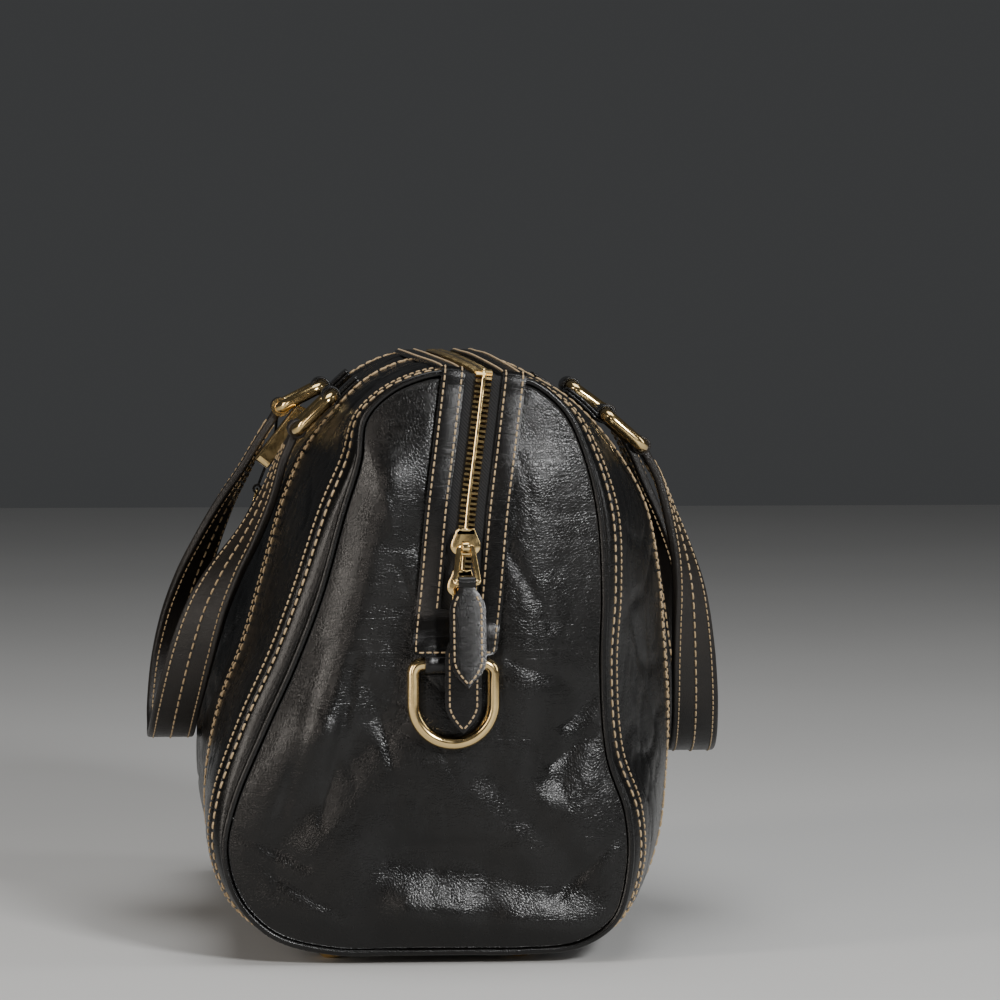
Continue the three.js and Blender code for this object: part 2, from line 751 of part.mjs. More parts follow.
// Zip sliders on the chain, with a bridge that the pull frame hangs in
function slider(z) {
  const y = zipLineAt(z);
  const chainTop = Math.max(endPanelX(y, z + sliderLength / 2), endPanelX(y, z - sliderLength / 2))
    + zipSeat + zipChainThickness;
  const outline = new THREE.Shape();
  const tail = sliderTailWidth / 2;
  const shoulder = sliderWidth / 2;
  outline.moveTo(y - tail, z + sliderLength / 2);
  outline.lineTo(y - shoulder, z);
  outline.lineTo(y - shoulder, z - sliderLength * sliderShoulderShare);
  outline.lineTo(y - tail, z - sliderLength / 2);
  outline.lineTo(y + tail, z - sliderLength / 2);
  outline.lineTo(y + shoulder, z - sliderLength * sliderShoulderShare);
  outline.lineTo(y + shoulder, z);
  outline.lineTo(y + tail, z + sliderLength / 2);
  const plateX = chainTop + sliderSeat;
  const plate = extrudedAlongX(outline, plateX, sliderPlate);
  const bridgeOut = bridgeHole + bridgeWall;
  const bridge = new THREE.Shape();
  const bridgeZ = z - bridgeBelowMiddle;
  const pivot = point(plateX + sliderPlate + bridgeHole, y, bridgeZ);
  bridge.moveTo(pivot.x - bridgeHole - bridgeRoot, bridgeZ - bridgeOut);
  bridge.lineTo(pivot.x, bridgeZ - bridgeOut);
  bridge.absarc(pivot.x, bridgeZ, bridgeOut, -Math.PI / 2, Math.PI / 2);
  bridge.lineTo(pivot.x - bridgeHole - bridgeRoot, bridgeZ + bridgeOut);
  const eye = new THREE.Path();
  eye.absarc(pivot.x, bridgeZ, bridgeHole, 0, 2 * Math.PI);
  bridge.holes.push(eye);
  const arch = new THREE.ExtrudeGeometry(
    bridge, { depth: bridgeWidth, bevelEnabled: false, curveSegments: 6 });
  arch.rotateX(Math.PI / 2);
  arch.translate(0, y + bridgeWidth / 2, 0);
  return { shape: joined([plate, arch]), pivot };
}

const upperSliderZ = slotEndZ + sliderFromSlotEnd;
const upperSlider = slider(upperSliderZ);
const lowerSlider = slider(upperSliderZ - sliderStep);
addPiece('slider_1', upperSlider.shape, brass);
addPiece('slider_2', lowerSlider.shape, brass);

const eyeRadius = Math.hypot(pullBar, pullBar) / 2 + clearance;
const rollRadius = eyeRadius + tabEyeWall;

// Pull frame: an open trapezoid that hangs from the bridge, and its leather tab
function pullFrame(pivot, footX) {
  const reach = pullLength - pullBar;
  const lean = Math.asin((footX - pivot.x) / reach);
  const outer = new THREE.Shape();
  const top = pullTopWidth / 2;
  const bottom = pullBottomWidth / 2;
  const above = pullBar / 2;
  const below = above - pullLength;
  outer.moveTo(-top, above);
  outer.lineTo(-bottom, below);
  outer.lineTo(bottom, below);
  outer.lineTo(top, above);
  const opening = new THREE.Path();
  opening.moveTo(-top + pullBar, above - pullBar);
  opening.lineTo(-bottom + pullBar, below + pullBar);
  opening.lineTo(bottom - pullBar, below + pullBar);
  opening.lineTo(top - pullBar, above - pullBar);
  outer.holes.push(opening);
  const shape = extrudedAlongX(outer, -pullBar / 2, pullBar);
  shape.rotateY(-lean);
  shape.translate(pivot.x, pivot.y, pivot.z);
  const foot = point(footX, pivot.y, pivot.z - reach * Math.cos(lean));
  return { shape, foot };
}

function pullTab(foot, lean) {
  const neck = tabNeckWidth / 2;
  const half = tabWidth / 2;
  const outline = new THREE.Shape();
  const bend = tabNeckLength * 1.5;
  outline.moveTo(-neck, 0);
  outline.lineTo(-neck, -tabNeckLength);
  outline.quadraticCurveTo(-half, -bend, -half, -tabShoulder);
  outline.lineTo(-half, tabPoint - tabLength);
  outline.quadraticCurveTo(-half * 0.6, tabPoint / 3 - tabLength, 0, -tabLength);
  outline.quadraticCurveTo(half * 0.6, tabPoint / 3 - tabLength, half, tabPoint - tabLength);
  outline.lineTo(half, -tabShoulder);
  outline.quadraticCurveTo(half, -bend, neck, -tabNeckLength);
  outline.lineTo(neck, 0);
  const body = new THREE.ExtrudeGeometry(
    outline, { depth: tabThickness, bevelEnabled: false, curveSegments: 4 });
  body.applyMatrix4(new THREE.Matrix4().makeBasis(
    new THREE.Vector3(0, 1, 0), new THREE.Vector3(0, 0, 1), new THREE.Vector3(1, 0, 0)));
  body.translate(-tabThickness / 2, 0, 0);
  const roll = new THREE.CylinderGeometry(rollRadius, rollRadius, tabNeckWidth, 12);
  const eye = new THREE.CylinderGeometry(eyeRadius, eyeRadius, tabWidth, 12);
  const shape = cut(joined([body, roll]), [eye]);
  shape.rotateY(-lean);
  shape.translate(foot.x, foot.y, foot.z);
  return shape;
}

const lowerFootX = barX + foldReach + zipStripThickness + clearance + tabThickness / 2;
const lowerPull = pullFrame(lowerSlider.pivot, lowerFootX);
const upperPull = pullFrame(upperSlider.pivot, lowerFootX + tabThickness / 2);
const upperTabX = lowerFootX + rollRadius + clearance + tabThickness / 2;
const upperTabLean = Math.atan(
  (upperTabX - upperPull.foot.x) / (upperPull.foot.z - lowerPull.foot.z - rollRadius));
addPiece('puller_1', upperPull.shape, brass);
addPiece('puller_2', lowerPull.shape, brass);
addPiece('pull_tab_1', pullTab(upperPull.foot, upperTabLean), smoothLeather);
addPiece('pull_tab_2', pullTab(lowerPull.foot, 0), smoothLeather);

// Feet: domed studs with a small flat underside. Radius and height are shares of the foot's own.
const footRows = [
  { radius: 0, height: 0 },
  { radius: footFlatRadius / footRadius, height: 0 },
  { radius: 0.736, height: 0.127 },
  { radius: 0.92, height: 0.4 },
  { radius: 1, height: 0.727 },
  { radius: 1, height: 1 - clearance / footHeight },
  { radius: 0, height: 1 - clearance / footHeight },
];
const footProfile = footRows.map(
  (row) => new THREE.Vector2(row.radius * footRadius, row.height * footHeight));
for (const [end, x] of [['near', 1], ['far', -1]]) {
  for (const [side, y] of [['front', -1], ['back', 1]]) {
    const foot = new THREE.LatheGeometry(footProfile, 12);
    foot.rotateX(Math.PI / 2);
    const solid = fromSolid(toSolid(foot));
    const piece = addPiece(`foot_${end}_${side}`, solid, brass);
    piece.position.set((x * footSpacingLong) / 2, (y * footSpacingAcross) / 2, 0);
  }
}

// Handle rings: each hangs in a leather loop that stands on the body's shoulder.
// Station is the place round the outline, stand how far the ring's upper bar lies off the leather,
// and droop how far the ring hangs below the level, in degrees.
const ringRows = [
  { name: 'near_front', side: -1, end: 1, station: 2.88, stand: 4.9, droop: 44 },
  { name: 'far_front', side: -1, end: -1, station: 2.85, stand: 6.5, droop: 27 },
  { name: 'near_back', side: 1, end: 1, station: 25.5, stand: 6.0, droop: 41 },
  { name: 'far_back', side: 1, end: -1, station: 25.85, stand: 9.0, droop: 36 },
];
const loopInner = ringWire + clearance;
const loopOuter = loopInner + loopPly;

// Corner points of an oval ring, as places along its bar and down its slope
function ovalPath() {
  const half = ringInnerWidth / 2 + ringWire;
  const corners = [
    [half - ringCorner, ringReach - ringCorner, 0],
    [ringCorner - half, ringReach - ringCorner, 90],
    [ringCorner - half, ringCorner, 180],
    [half - ringCorner, ringCorner, 270],
  ];
  return corners.flatMap(([x, d, start]) => [0, 30, 60, 90].map((turn) => {
    const angle = radians(start + turn);
    return [x + ringCorner * Math.cos(angle), d + ringCorner * Math.sin(angle)];
  }));
}

function handleRing({ side, end, station, stand, droop }) {
  const x = (end * handleSpan) / 2;
  const v = sectionAt(x, station);
  const seat = bodyPoint(v, station);
  const upper = seat.clone().addScaledVector(bodyNormal(v, station), stand);
  upper.x = x;
  const slope = point(0, side * Math.cos(radians(droop)), -Math.sin(radians(droop)));
  const path = ovalPath().map(([a, d]) => upper.clone().addScaledVector(outX, a).addScaledVector(slope, d));
  const flat = outX.clone().cross(slope);
  const shape = sweep(framesAlong(path, flat, true), circleSection(ringWire, 8), true);
  const lower = upper.clone().addScaledVector(slope, ringReach);
  return { shape, upper, lower, station, x };
}

// Leather loop round the ring's upper bar, with a tail sewn flat on the shoulder
function ringLoop({ upper, station, x }, side) {
  const tailStations = [0, 0.5, 1].map((t) => station + side * t * loopTailStations);
  const xs = [x - strapWidth / 2, x, x + strapWidth / 2];
  const layer = (lift) => xs.map((at) => tailStations.map((s) => {
    const v = sectionAt(at, s);
    return bodyPoint(v, s).addScaledVector(bodyNormal(v, s), lift);
  }));
  const tail = wall(layer(loopSeat), layer(loopSeat + 2 * loopPly));
  const foot = layer(loopSeat + loopPly)[1][0];
  const neckRun = upper.clone().sub(foot);
  const neckFrames = [foot, foot.clone().addScaledVector(neckRun, 0.5)].map((place) => ({
    place: point(x, place.y, place.z), across: outX, up: neckRun.clone().normalize().cross(outX),
  }));
  const neck = sweep(neckFrames, flatSection(strapWidth, 2 * loopPly, loopEdge));
  const roll = barAlongX(upper, loopOuter, strapWidth);
  return cut(joined([tail, neck, roll]), [barAlongX(upper, loopInner, strapWidth + 2 * cutterOverrun)]);
}

const rings = {};
for (const row of ringRows) {
  const ring = handleRing(row);
  rings[row.name] = ring;
  addPiece(`handle_ring_${row.name}`, ring.shape, brass);
  addPiece(`ring_loop_${row.name}`, ringLoop(ring, row.side), smoothLeather);
}

// Handles: a flat strap hangs as a U from two rings and turns a quarter way round on each half.
// Along, out and down are shares of the way from the ring to the middle of the U; turn is in degrees.
const handleHalves = {
  nearFront: [
    { along: 0, out: 0.12, down: 0.10, turn: 4 },
    { along: 0, out: 0.23, down: 0.22, turn: 14 },
    { along: 0.01, out: 0.39, down: 0.345, turn: 27 },
    { along: 0.035, out: 0.56, down: 0.455, turn: 42 },
    { along: 0.08, out: 0.70, down: 0.565, turn: 56 },
    { along: 0.15, out: 0.81, down: 0.69, turn: 70 },
    { along: 0.28, out: 0.90, down: 0.82, turn: 80 },
    { along: 0.51, out: 0.965, down: 0.93, turn: 87 },
    { along: 0.74, out: 0.99, down: 0.982, turn: 89 },
  ],
  farFront: [
    { along: 0, out: 0.16, down: 0.09, turn: 3 },
    { along: 0, out: 0.31, down: 0.19, turn: 10 },
    { along: 0.01, out: 0.49, down: 0.30, turn: 20 },
    { along: 0.025, out: 0.64, down: 0.41, turn: 31 },
    { along: 0.06, out: 0.78, down: 0.53, turn: 44 },
    { along: 0.13, out: 0.89, down: 0.66, turn: 58 },
    { along: 0.26, out: 0.965, down: 0.80, turn: 73 },
    { along: 0.50, out: 1.0, down: 0.93, turn: 85 },
    { along: 0.74, out: 1.0, down: 0.982, turn: 89 },
  ],
  back: [
    { along: 0, out: 0.28, down: 0.10, turn: 4 },
    { along: 0, out: 0.48, down: 0.22, turn: 13 },
    { along: 0.01, out: 0.66, down: 0.345, turn: 27 },
    { along: 0.035, out: 0.77, down: 0.455, turn: 42 },
    { along: 0.08, out: 0.83, down: 0.565, turn: 56 },
    { along: 0.15, out: 0.88, down: 0.69, turn: 70 },
    { along: 0.28, out: 0.93, down: 0.82, turn: 80 },
    { along: 0.51, out: 0.97, down: 0.93, turn: 87 },
    { along: 0.74, out: 0.99, down: 0.982, turn: 89 },
  ],
};
const turnOf = ({ turn }) => radians(turn);

function handle(side) {
  const word = side < 0 ? 'front' : 'back';
  const near = rings[`near_${word}`].lower;
  const far = rings[`far_${word}`].lower;
  const restZ = near.z - handleDrop;
  const beside = side < 0 ? 'min' : 'max';
  const girth = Math[beside](...sections[atMid].map((p) => p.y));
  const middle = point(0, girth + side * (strapRest + strapWidth / 2), restZ);
  const stretch = (ring, rows) => rows.map(({ along, out, down }) => point(
    ring.x + (middle.x - ring.x) * along,
    ring.y + (middle.y - ring.y) * out,
    ring.z + (middle.z - ring.z) * down,
  ));
  const nearRows = side < 0 ? handleHalves.nearFront : handleHalves.back;
  const farHalfRows = side < 0 ? handleHalves.farFront : handleHalves.back;
  const leave = (ring, rows) => {
    const towards = stretch(ring, rows)[0].sub(ring).normalize();
    return ring.clone().addScaledVector(towards, loopInner + loopPly / 3);
  };
  const nearEnd = leave(near, nearRows);
  const farEnd = leave(far, farHalfRows);
  const route = smooth([
    nearEnd, ...stretch(near, nearRows), middle, ...stretch(far, farHalfRows).reverse(), farEnd,
  ]);
  const turns = [
    0, ...nearRows.map(turnOf), Math.PI / 2, ...farHalfRows.map((row) => Math.PI - turnOf(row)).reverse(),
    Math.PI,
  ];
  const steps = 24;
  const places = Array.from({ length: steps + 1 }, (_, i) => route.getPoint(i / steps));
  const keep = (i) => {
    const t = (i / steps) * (turns.length - 1);
    const low = Math.min(Math.floor(t), turns.length - 2);
    const angle = turns[low] + (turns[low + 1] - turns[low]) * (t - low);
    return point(Math.cos(angle), -side * Math.sin(angle), 0);
  };
  const strap = sweep(framesAlong(places, keep), flatSection(strapWidth, strapThickness, strapEdge));
  const rolls = [near, far].map((ring) => barAlongX(ring, loopOuter, strapWidth));
  const bores = [near, far].map((ring) => barAlongX(ring, loopInner, strapWidth + 2 * cutterOverrun));
  return cut(joined([strap, ...rolls]), bores);
}

addPiece('handle_front', handle(-1), smoothLeather);
addPiece('handle_back', handle(1), smoothLeather);

// Padlock: its shackle rolls round the far front ring, beside the strap
const lockRing = rings.far_front.lower;
const shackleX = lockRing.x + strapWidth / 2 + shackleGap;
const shackleOuter = loopInner + shackleWall;
const lockDown = point(0, -Math.cos(radians(lockLean)), -Math.sin(radians(lockLean)));
const lockOut = point(0, -Math.sin(radians(lockLean)), Math.cos(radians(lockLean)));
const lockTop = lockRing.clone().add(point(0, shackleReach, lockRise));

function lockBody() {
  const shape = new THREE.Shape();
  const half = lockWidth / 2;
  shape.moveTo(-half, 0);
  shape.lineTo(-half, lockLength - lockCorner);
  shape.quadraticCurveTo(-half, lockLength, lockCorner - half, lockLength);
  shape.lineTo(half - lockCorner, lockLength);
  shape.quadraticCurveTo(half, lockLength, half, lockLength - lockCorner);
  shape.lineTo(half, 0);
  const body = new THREE.ExtrudeGeometry(
    shape, { depth: lockThickness, bevelEnabled: false, curveSegments: 4 });
  body.applyMatrix4(new THREE.Matrix4().makeBasis(outX, lockDown, outX.clone().cross(lockDown)));
  const shift = outX.clone().cross(lockDown).multiplyScalar(-lockThickness / 2);
  const x = shackleX + shackleWidth / 2;
  body.translate(x + shift.x, lockTop.y + shift.y, lockTop.z + shift.z);
  return fromSolid(toSolid(body));
}

function lockShackle() {
  const x = shackleX + shackleWidth / 2;
  const roll = barAlongX(point(x, lockRing.y, lockRing.z), shackleOuter, shackleWidth);
  const bore = barAlongX(point(x, lockRing.y, lockRing.z), loopInner, shackleWidth + cutterOverrun);
  const arm = new THREE.Shape();
  const corner = (down, out) => lockTop.clone()
    .addScaledVector(lockDown, down).addScaledVector(lockOut, out);
  const half = lockThickness / 2;
  const bends = [
    corner(-shackleWall * 1.6, -half / 2), corner(-clearance, -half / 2),
    corner(-clearance, half - shackleRoot), corner(-clearance * 2.4, half + shackleRoot),
  ];
  arm.moveTo(lockRing.y + shackleRoot, lockRing.z + shackleOuter - clearance);
  bends.forEach((bend) => arm.lineTo(bend.y, bend.z));
  arm.lineTo(lockRing.y + loopInner, lockRing.z + shackleRoot);
  const limb = extrudedAlongX(arm, shackleX, shackleWidth);
  return cut(joined([roll, fromSolid(toSolid(limb))]), [bore]);
}

addPiece('lock_body', lockBody(), brass);
addPiece('lock_shackle', lockShackle(), brass);

// Key strap: a thin strip on the same ring, with a fold below that holds the key's ring
const keyHang = point(0, -Math.sin(radians(keyHangLean)), -Math.cos(radians(keyHangLean)));
const kneeShare = 0.45;

function keyStrap() {
  const x = lockRing.x - strapWidth / 2 - keyStrapGap - keyStrapWidth;
  const middleX = x + keyStrapWidth / 2;
  const foldInner = keyRingWire + 2 * clearance;
  const foldOuter = foldInner + keyStrapThickness;
  const foot = lockRing.clone().addScaledVector(keyHang, keyStrapLength);
  const knee = lockRing.clone().lerp(foot, kneeShare).add(point(0, keyStrapBow, 0));
  const inPly = keyStrapThickness / 3;
  const strip = smooth([
    lockRing.clone().addScaledVector(keyHang, loopInner + inPly), knee,
    foot.clone().addScaledVector(keyHang, -foldInner - inPly),
  ].map((p) => point(middleX, p.y, p.z)));
  const places = Array.from({ length: 9 }, (_, i) => strip.getPoint(i / 8));
  const band = sweep(framesAlong(places, outX), flatSection(keyStrapWidth, keyStrapThickness, keyStrapEdge));
  const top = point(middleX, lockRing.y, lockRing.z);
  const low = point(middleX, foot.y, foot.z);
  const shape = cut(
    joined([band, barAlongX(top, loopInner + keyStrapThickness, keyStrapWidth),
      barAlongX(low, foldOuter, keyStrapWidth)]),
    [top, low].map((place, i) => barAlongX(place, [loopInner, foldInner][i], keyStrapWidth + cutterOverrun)),
  );
  return { shape, low };
}

const keyStrapPiece = keyStrap();
addPiece('key_strap', keyStrapPiece.shape, smoothLeather);

function keyRing({ low }) {
  const center = low.clone().addScaledVector(keyHang, keyRingRadius);
  const path = Array.from({ length: 12 }, (_, i) => {
    const angle = radians(30 * i);
    return center.clone()
      .addScaledVector(outX, keyRingRadius * Math.sin(angle))
      .addScaledVector(keyHang, -keyRingRadius * Math.cos(angle));
  });
  return sweep(framesAlong(path, outX.clone().cross(keyHang), true), circleSection(keyRingWire, 6), true);
}
addPiece('key_ring', keyRing(keyStrapPiece), brass);

// The bag stands with the middle of its box over the origin
const box = new THREE.Box3().setFromObject(bag, true);
bag.position.set(-(box.min.x + box.max.x) / 2, -(box.min.y + box.max.y) / 2, -box.min.z);

export default bag;
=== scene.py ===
# %% [markdown]
# # A black leather boston bag
# The CAD model is the frame: it fixes where every wall, strap and ring of the bag is. This script
# dresses it. Each soft part is built again as a fine mesh from the same outline that the maker of the
# CAD model used, because leather needs many more faces than a solid does to fold and shine.

# %% Load the frame
import math

import bpy
import numpy as np
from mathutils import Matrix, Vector, noise


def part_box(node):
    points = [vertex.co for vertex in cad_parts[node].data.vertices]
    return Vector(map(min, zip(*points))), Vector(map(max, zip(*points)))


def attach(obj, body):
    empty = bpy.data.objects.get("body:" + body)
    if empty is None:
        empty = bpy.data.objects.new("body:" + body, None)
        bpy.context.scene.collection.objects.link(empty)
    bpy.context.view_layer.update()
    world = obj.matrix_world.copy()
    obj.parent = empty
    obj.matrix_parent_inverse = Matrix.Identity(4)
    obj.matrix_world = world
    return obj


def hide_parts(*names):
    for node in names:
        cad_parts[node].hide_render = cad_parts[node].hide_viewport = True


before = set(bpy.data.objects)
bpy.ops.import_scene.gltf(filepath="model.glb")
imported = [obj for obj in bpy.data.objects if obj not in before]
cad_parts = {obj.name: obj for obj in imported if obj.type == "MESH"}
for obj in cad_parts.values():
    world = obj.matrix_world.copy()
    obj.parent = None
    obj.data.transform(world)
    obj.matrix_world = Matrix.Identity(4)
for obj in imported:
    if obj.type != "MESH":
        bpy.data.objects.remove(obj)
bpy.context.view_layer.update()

# %% [markdown]
# ## Millimetres and the middle of the bag
# A bag maker thinks in millimetres from the middle of the pattern. The frame is in metres from the
# middle of the whole object's box, so every point is moved by the same small step at the very end.

# %% Millimetres and the middle of the bag
MM = 0.001


def middle_of(node):
    low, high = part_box(node)
    return (low + high) / 2


pattern_middle = np.array([
    middle_of("centre_panel").x,
    (middle_of("foot_near_front").y + middle_of("foot_near_back").y) / 2,
    0.0,
])


def in_frame(points):
    return np.asarray(points, float) * MM + pattern_middle


def in_pattern(node):
    """Lowest and highest corner of a CAD node, in pattern millimetres."""
    return [(np.array(corner) - pattern_middle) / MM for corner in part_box(node)]


print("The pattern's middle lies at", pattern_middle.round(5))

# %% [markdown]
# ## Curves through a few points
# Leather bends in fair curves. A Catmull-Rom curve passes through its points, and the centripetal kind
# makes no loops where points lie close together, so a short table of points gives a smooth outline.

# %% Curves through a few points
def fair(points, t):
    """Places at t, from 0 to 1, on a centripetal curve through the first axis of points."""
    points = np.asarray(points, float)
    t = np.clip(np.atleast_1d(np.asarray(t, float)), 0, 1) * (len(points) - 1)
    at = np.minimum(t.astype(int), len(points) - 2)
    w = (t - at).reshape((-1,) + (1,) * (points.ndim - 1))
    ends = np.concatenate([[2 * points[0] - points[1]], points, [2 * points[-1] - points[-2]]])
    p0, p1, p2, p3 = (ends[at + i] for i in range(4))

    def gap(a, b):
        return np.sqrt(np.maximum(np.linalg.norm(b - a, axis=-1, keepdims=True), 1e-9))

    d0, d1, d2 = gap(p0, p1), gap(p1, p2), gap(p2, p3)
    m1 = ((p1 - p0) / d0 - (p2 - p0) / (d0 + d1) + (p2 - p1) / d1) * d1
    m2 = ((p2 - p1) / d1 - (p3 - p1) / (d1 + d2) + (p3 - p2) / d2) * d1
    return (p1 + m1 * w + (3 * (p2 - p1) - 2 * m1 - m2) * w**2
            + (2 * (p1 - p2) + m1 + m2) * w**3)


def unit(vectors):
    return vectors / np.maximum(np.linalg.norm(vectors, axis=-1, keepdims=True), 1e-12)


def even_steps(path, pitch):
    """Shares of a path's points, as row numbers, that lie one pitch apart along it."""
    run = np.concatenate([[0], np.cumsum(np.linalg.norm(np.diff(path, axis=0), axis=1))])
    count = max(int(run[-1] / pitch), 1)
    return np.interp((np.arange(count) + 0.5) * run[-1] / count, run, np.arange(len(path)))


def read_at(rows, index):
    low = np.minimum(index.astype(int), len(rows) - 2)
    w = (index - low).reshape((-1,) + (1,) * (rows.ndim - 1))
    return rows[low] * (1 - w) + rows[low + 1] * w


# %% [markdown]
# ## The outline of the bag
# Each row is one station round the bag, from the front edge of the zip, down the front, under the base
# and up the back. Across is a share of half the width there, and up is a share of the body's height.
# The same table is in the CAD source. Four sections along the bag are enough for its whole skin.

# %% The outline of the bag
LENGTH = 350
BODY_HEIGHT = 260
END_HALF = 90
MID_HALF = 110
SEAM_SPACING = 150
BAND = 12
END_LEAN = 5
END_DOME = 9
LEATHER = 1.8
PIPING = 1.6
GAP = 0.3
FOOT_HEIGHT = 5.5
ZIP_CUT = 20
ZIP_TILT = 5

OUTLINE = {  # end across, end up, band out, seam across, seam up, mid across, mid up
    "top edge front": (-0.178, 0.954, 0.15, -0.20, 0.968, -0.20, 0.955),
    "shoulder front": (-0.311, 0.906, 0.25, -0.327, 0.918, -0.36, 0.892),
    "neck front": (-0.339, 0.837, 0.45, -0.46, 0.845, -0.505, 0.822),
    "upper front": (-0.417, 0.748, 0.65, -0.555, 0.755, -0.64, 0.748),
    "chest front": (-0.533, 0.606, 0.80, -0.645, 0.62, -0.785, 0.625),
    "waist front": (-0.661, 0.490, 0.80, -0.727, 0.50, -0.868, 0.498),
    "side front": (-0.811, 0.375, 0.80, -0.823, 0.394, -0.90, 0.383),
    "belly front": (-0.961, 0.248, 0.65, -0.882, 0.267, -0.909, 0.267),
    "low front": (-1.0, 0.171, 0.45, -0.877, 0.171, -0.882, 0.171),
    "foot front": (-0.933, 0.090, 0.30, -0.818, 0.087, -0.818, 0.087),
    "corner front": (-0.756, 0.029, 0.12, -0.69, 0.027, -0.69, 0.027),
    "base front": (-0.467, 0.002, 0, -0.436, 0, -0.455, 0),
    "base middle front": (-0.15, 0, 0, -0.13, 0, -0.13, 0),
    "base middle back": (0.15, 0, 0, 0.13, 0, 0.13, 0),
    "base back": (0.467, 0, 0, 0.473, 0, 0.49, 0),
    "corner back": (0.744, 0.010, 0.10, 0.764, 0.010, 0.818, 0.010),
    "foot back": (0.922, 0.052, 0.30, 0.936, 0.063, 0.973, 0.063),
    "low back": (0.994, 0.140, 0.50, 1.018, 0.152, 1.059, 0.152),
    "belly back": (0.983, 0.233, 0.50, 1.05, 0.267, 1.095, 0.267),
    "side back": (0.894, 0.329, 0.45, 1.059, 0.383, 1.105, 0.375),
    "waist back": (0.862, 0.479, 0.45, 1.041, 0.51, 1.091, 0.506),
    "chest back": (0.870, 0.613, 0.55, 1.018, 0.625, 1.068, 0.625),
    "upper back": (0.850, 0.740, 0.60, 0.964, 0.74, 0.982, 0.74),
    "neck back": (0.789, 0.837, 0.45, 0.836, 0.84, 0.845, 0.84),
    "shoulder back": (0.700, 0.910, 0.30, 0.655, 0.925, 0.673, 0.921),
    "top edge back": (0.606, 0.946, 0.15, 0.482, 0.971, 0.491, 0.969),
}
COLUMNS = {"end": (0, 1), "seam": (3, 4), "mid": (5, 6)}
ZIP_CROSSING = {  # across, up, tilt in degrees
    "end": (0.274, 0.975, ZIP_TILT),
    "seam": (0.15, 0.998, 0),
    "mid": (0.14, 1.0, 0),
}
BAND_ZIP_CROSSING = (0.262, 0.981, ZIP_TILT)
ZIP_FLAT_HALF = 20.75
LAST_STATION = len(OUTLINE) + 3


def end_plane(z):
    return LENGTH / 2 - END_LEAN * (z - FOOT_HEIGHT) / BODY_HEIGHT


def section(kind, x_of, crossing, half_width, on_band=False):
    """Control points of one section of the skin, front edge of the zip first."""
    table = np.array(list(OUTLINE.values()))
    across, up = COLUMNS[kind]
    y = table[:, across] * half_width
    z = FOOT_HEIGHT + table[:, up] * BODY_HEIGHT
    x = x_of(z)
    if on_band:
        dy = np.concatenate([[y[1] - y[0]], y[2:] - y[:-2], [y[-1] - y[-2]]])
        dz = np.concatenate([[z[1] - z[0]], z[2:] - z[:-2], [z[-1] - z[-2]]])
        run = np.hypot(dy, dz)
        out = table[:, 2] * BAND
        y, z = y + out * dz / run, z - out * dy / run
        x = x_of(z) - np.sqrt(BAND**2 - out**2)
    tilt = math.radians(crossing[2])

    def edge(offset):
        height = FOOT_HEIGHT + crossing[1] * BODY_HEIGHT - offset * math.sin(tilt)
        depth = x_of(np.array(height)) - (BAND if on_band else 0)
        return [float(depth), crossing[0] * half_width + offset * math.cos(tilt), height]

    front = [edge(-ZIP_CUT / 2), edge(-ZIP_FLAT_HALF)]
    back = [edge(ZIP_FLAT_HALF), edge(ZIP_CUT / 2)]
    return np.array([*front, *np.stack([x, y, z], axis=1), *back])


def at_seam(z):
    return np.full_like(z, SEAM_SPACING / 2, dtype=float)


def at_middle(z):
    return np.zeros_like(z, dtype=float)


near_sections = [
    section("end", end_plane, ZIP_CROSSING["end"], END_HALF),
    section("end", end_plane, BAND_ZIP_CROSSING, END_HALF, on_band=True),
    section("seam", at_seam, ZIP_CROSSING["seam"], MID_HALF),
]
MIRROR = np.array([-1.0, 1.0, 1.0])
sections = np.array([
    *near_sections, section("mid", at_middle, ZIP_CROSSING["mid"], MID_HALF),
    *[row * MIRROR for row in near_sections[::-1]],
])
AT_END, AT_BAND, AT_SEAM, AT_MID, LAST_SECTION = 0, 1, 2, 3, 6


def skin(v, s):
    """Grid of points on the bag's skin: v counts sections along it, s stations round it."""
    around = np.stack([fair(row, np.asarray(s, float) / LAST_STATION) for row in sections])
    return fair(around, np.asarray(v, float) / LAST_SECTION)


def outward(grid):
    return unit(np.cross(np.gradient(grid, axis=0), np.gradient(grid, axis=1)))


print("The middle section is", np.ptp(sections[AT_MID][:, 1]).round(1), "mm wide")

# %% [markdown]
# ## Making a piece
# Every piece is a mesh from points and faces. A helper turns them into an object in metres, gives it
# its finish, lets it ride on the CAD body that carries it, and hides the CAD nodes it stands for.

# %% Making a piece
def piece(name, points, faces, finish, body="bag", slot=None, nodes=(), is_smooth=True):
    mesh = bpy.data.meshes.new(name)
    mesh.from_pydata(in_frame(points).tolist(), [], [list(f) for f in faces])
    mesh.polygons.foreach_set("use_smooth", [is_smooth] * len(mesh.polygons))
    mesh.materials.append(finish)
    mesh.update()
    made = bpy.data.objects.new(name, mesh)
    bpy.context.scene.collection.objects.link(made)
    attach(made, body)
    if nodes:
        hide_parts(*nodes)
    return made


def soft_edges(made, width=0.4, steps=2, angle=35):
    """Rounds the sharp edges of a piece, as a file or an edge iron would."""
    bevel = made.modifiers.new("soft edges", "BEVEL")
    bevel.width = width * MM
    bevel.segments = steps
    bevel.limit_method = "ANGLE"
    bevel.angle_limit = math.radians(angle)
    bevel.harden_normals = True
    return made


def grid_faces(rows, columns, closed_rows=False, closed_columns=False):
    faces = []
    for r in range(rows if closed_rows else rows - 1):
        for c in range(columns if closed_columns else columns - 1):
            r1, c1 = (r + 1) % rows, (c + 1) % columns
            faces.append((r * columns + c, r1 * columns + c, r1 * columns + c1, r * columns + c1))
    return faces


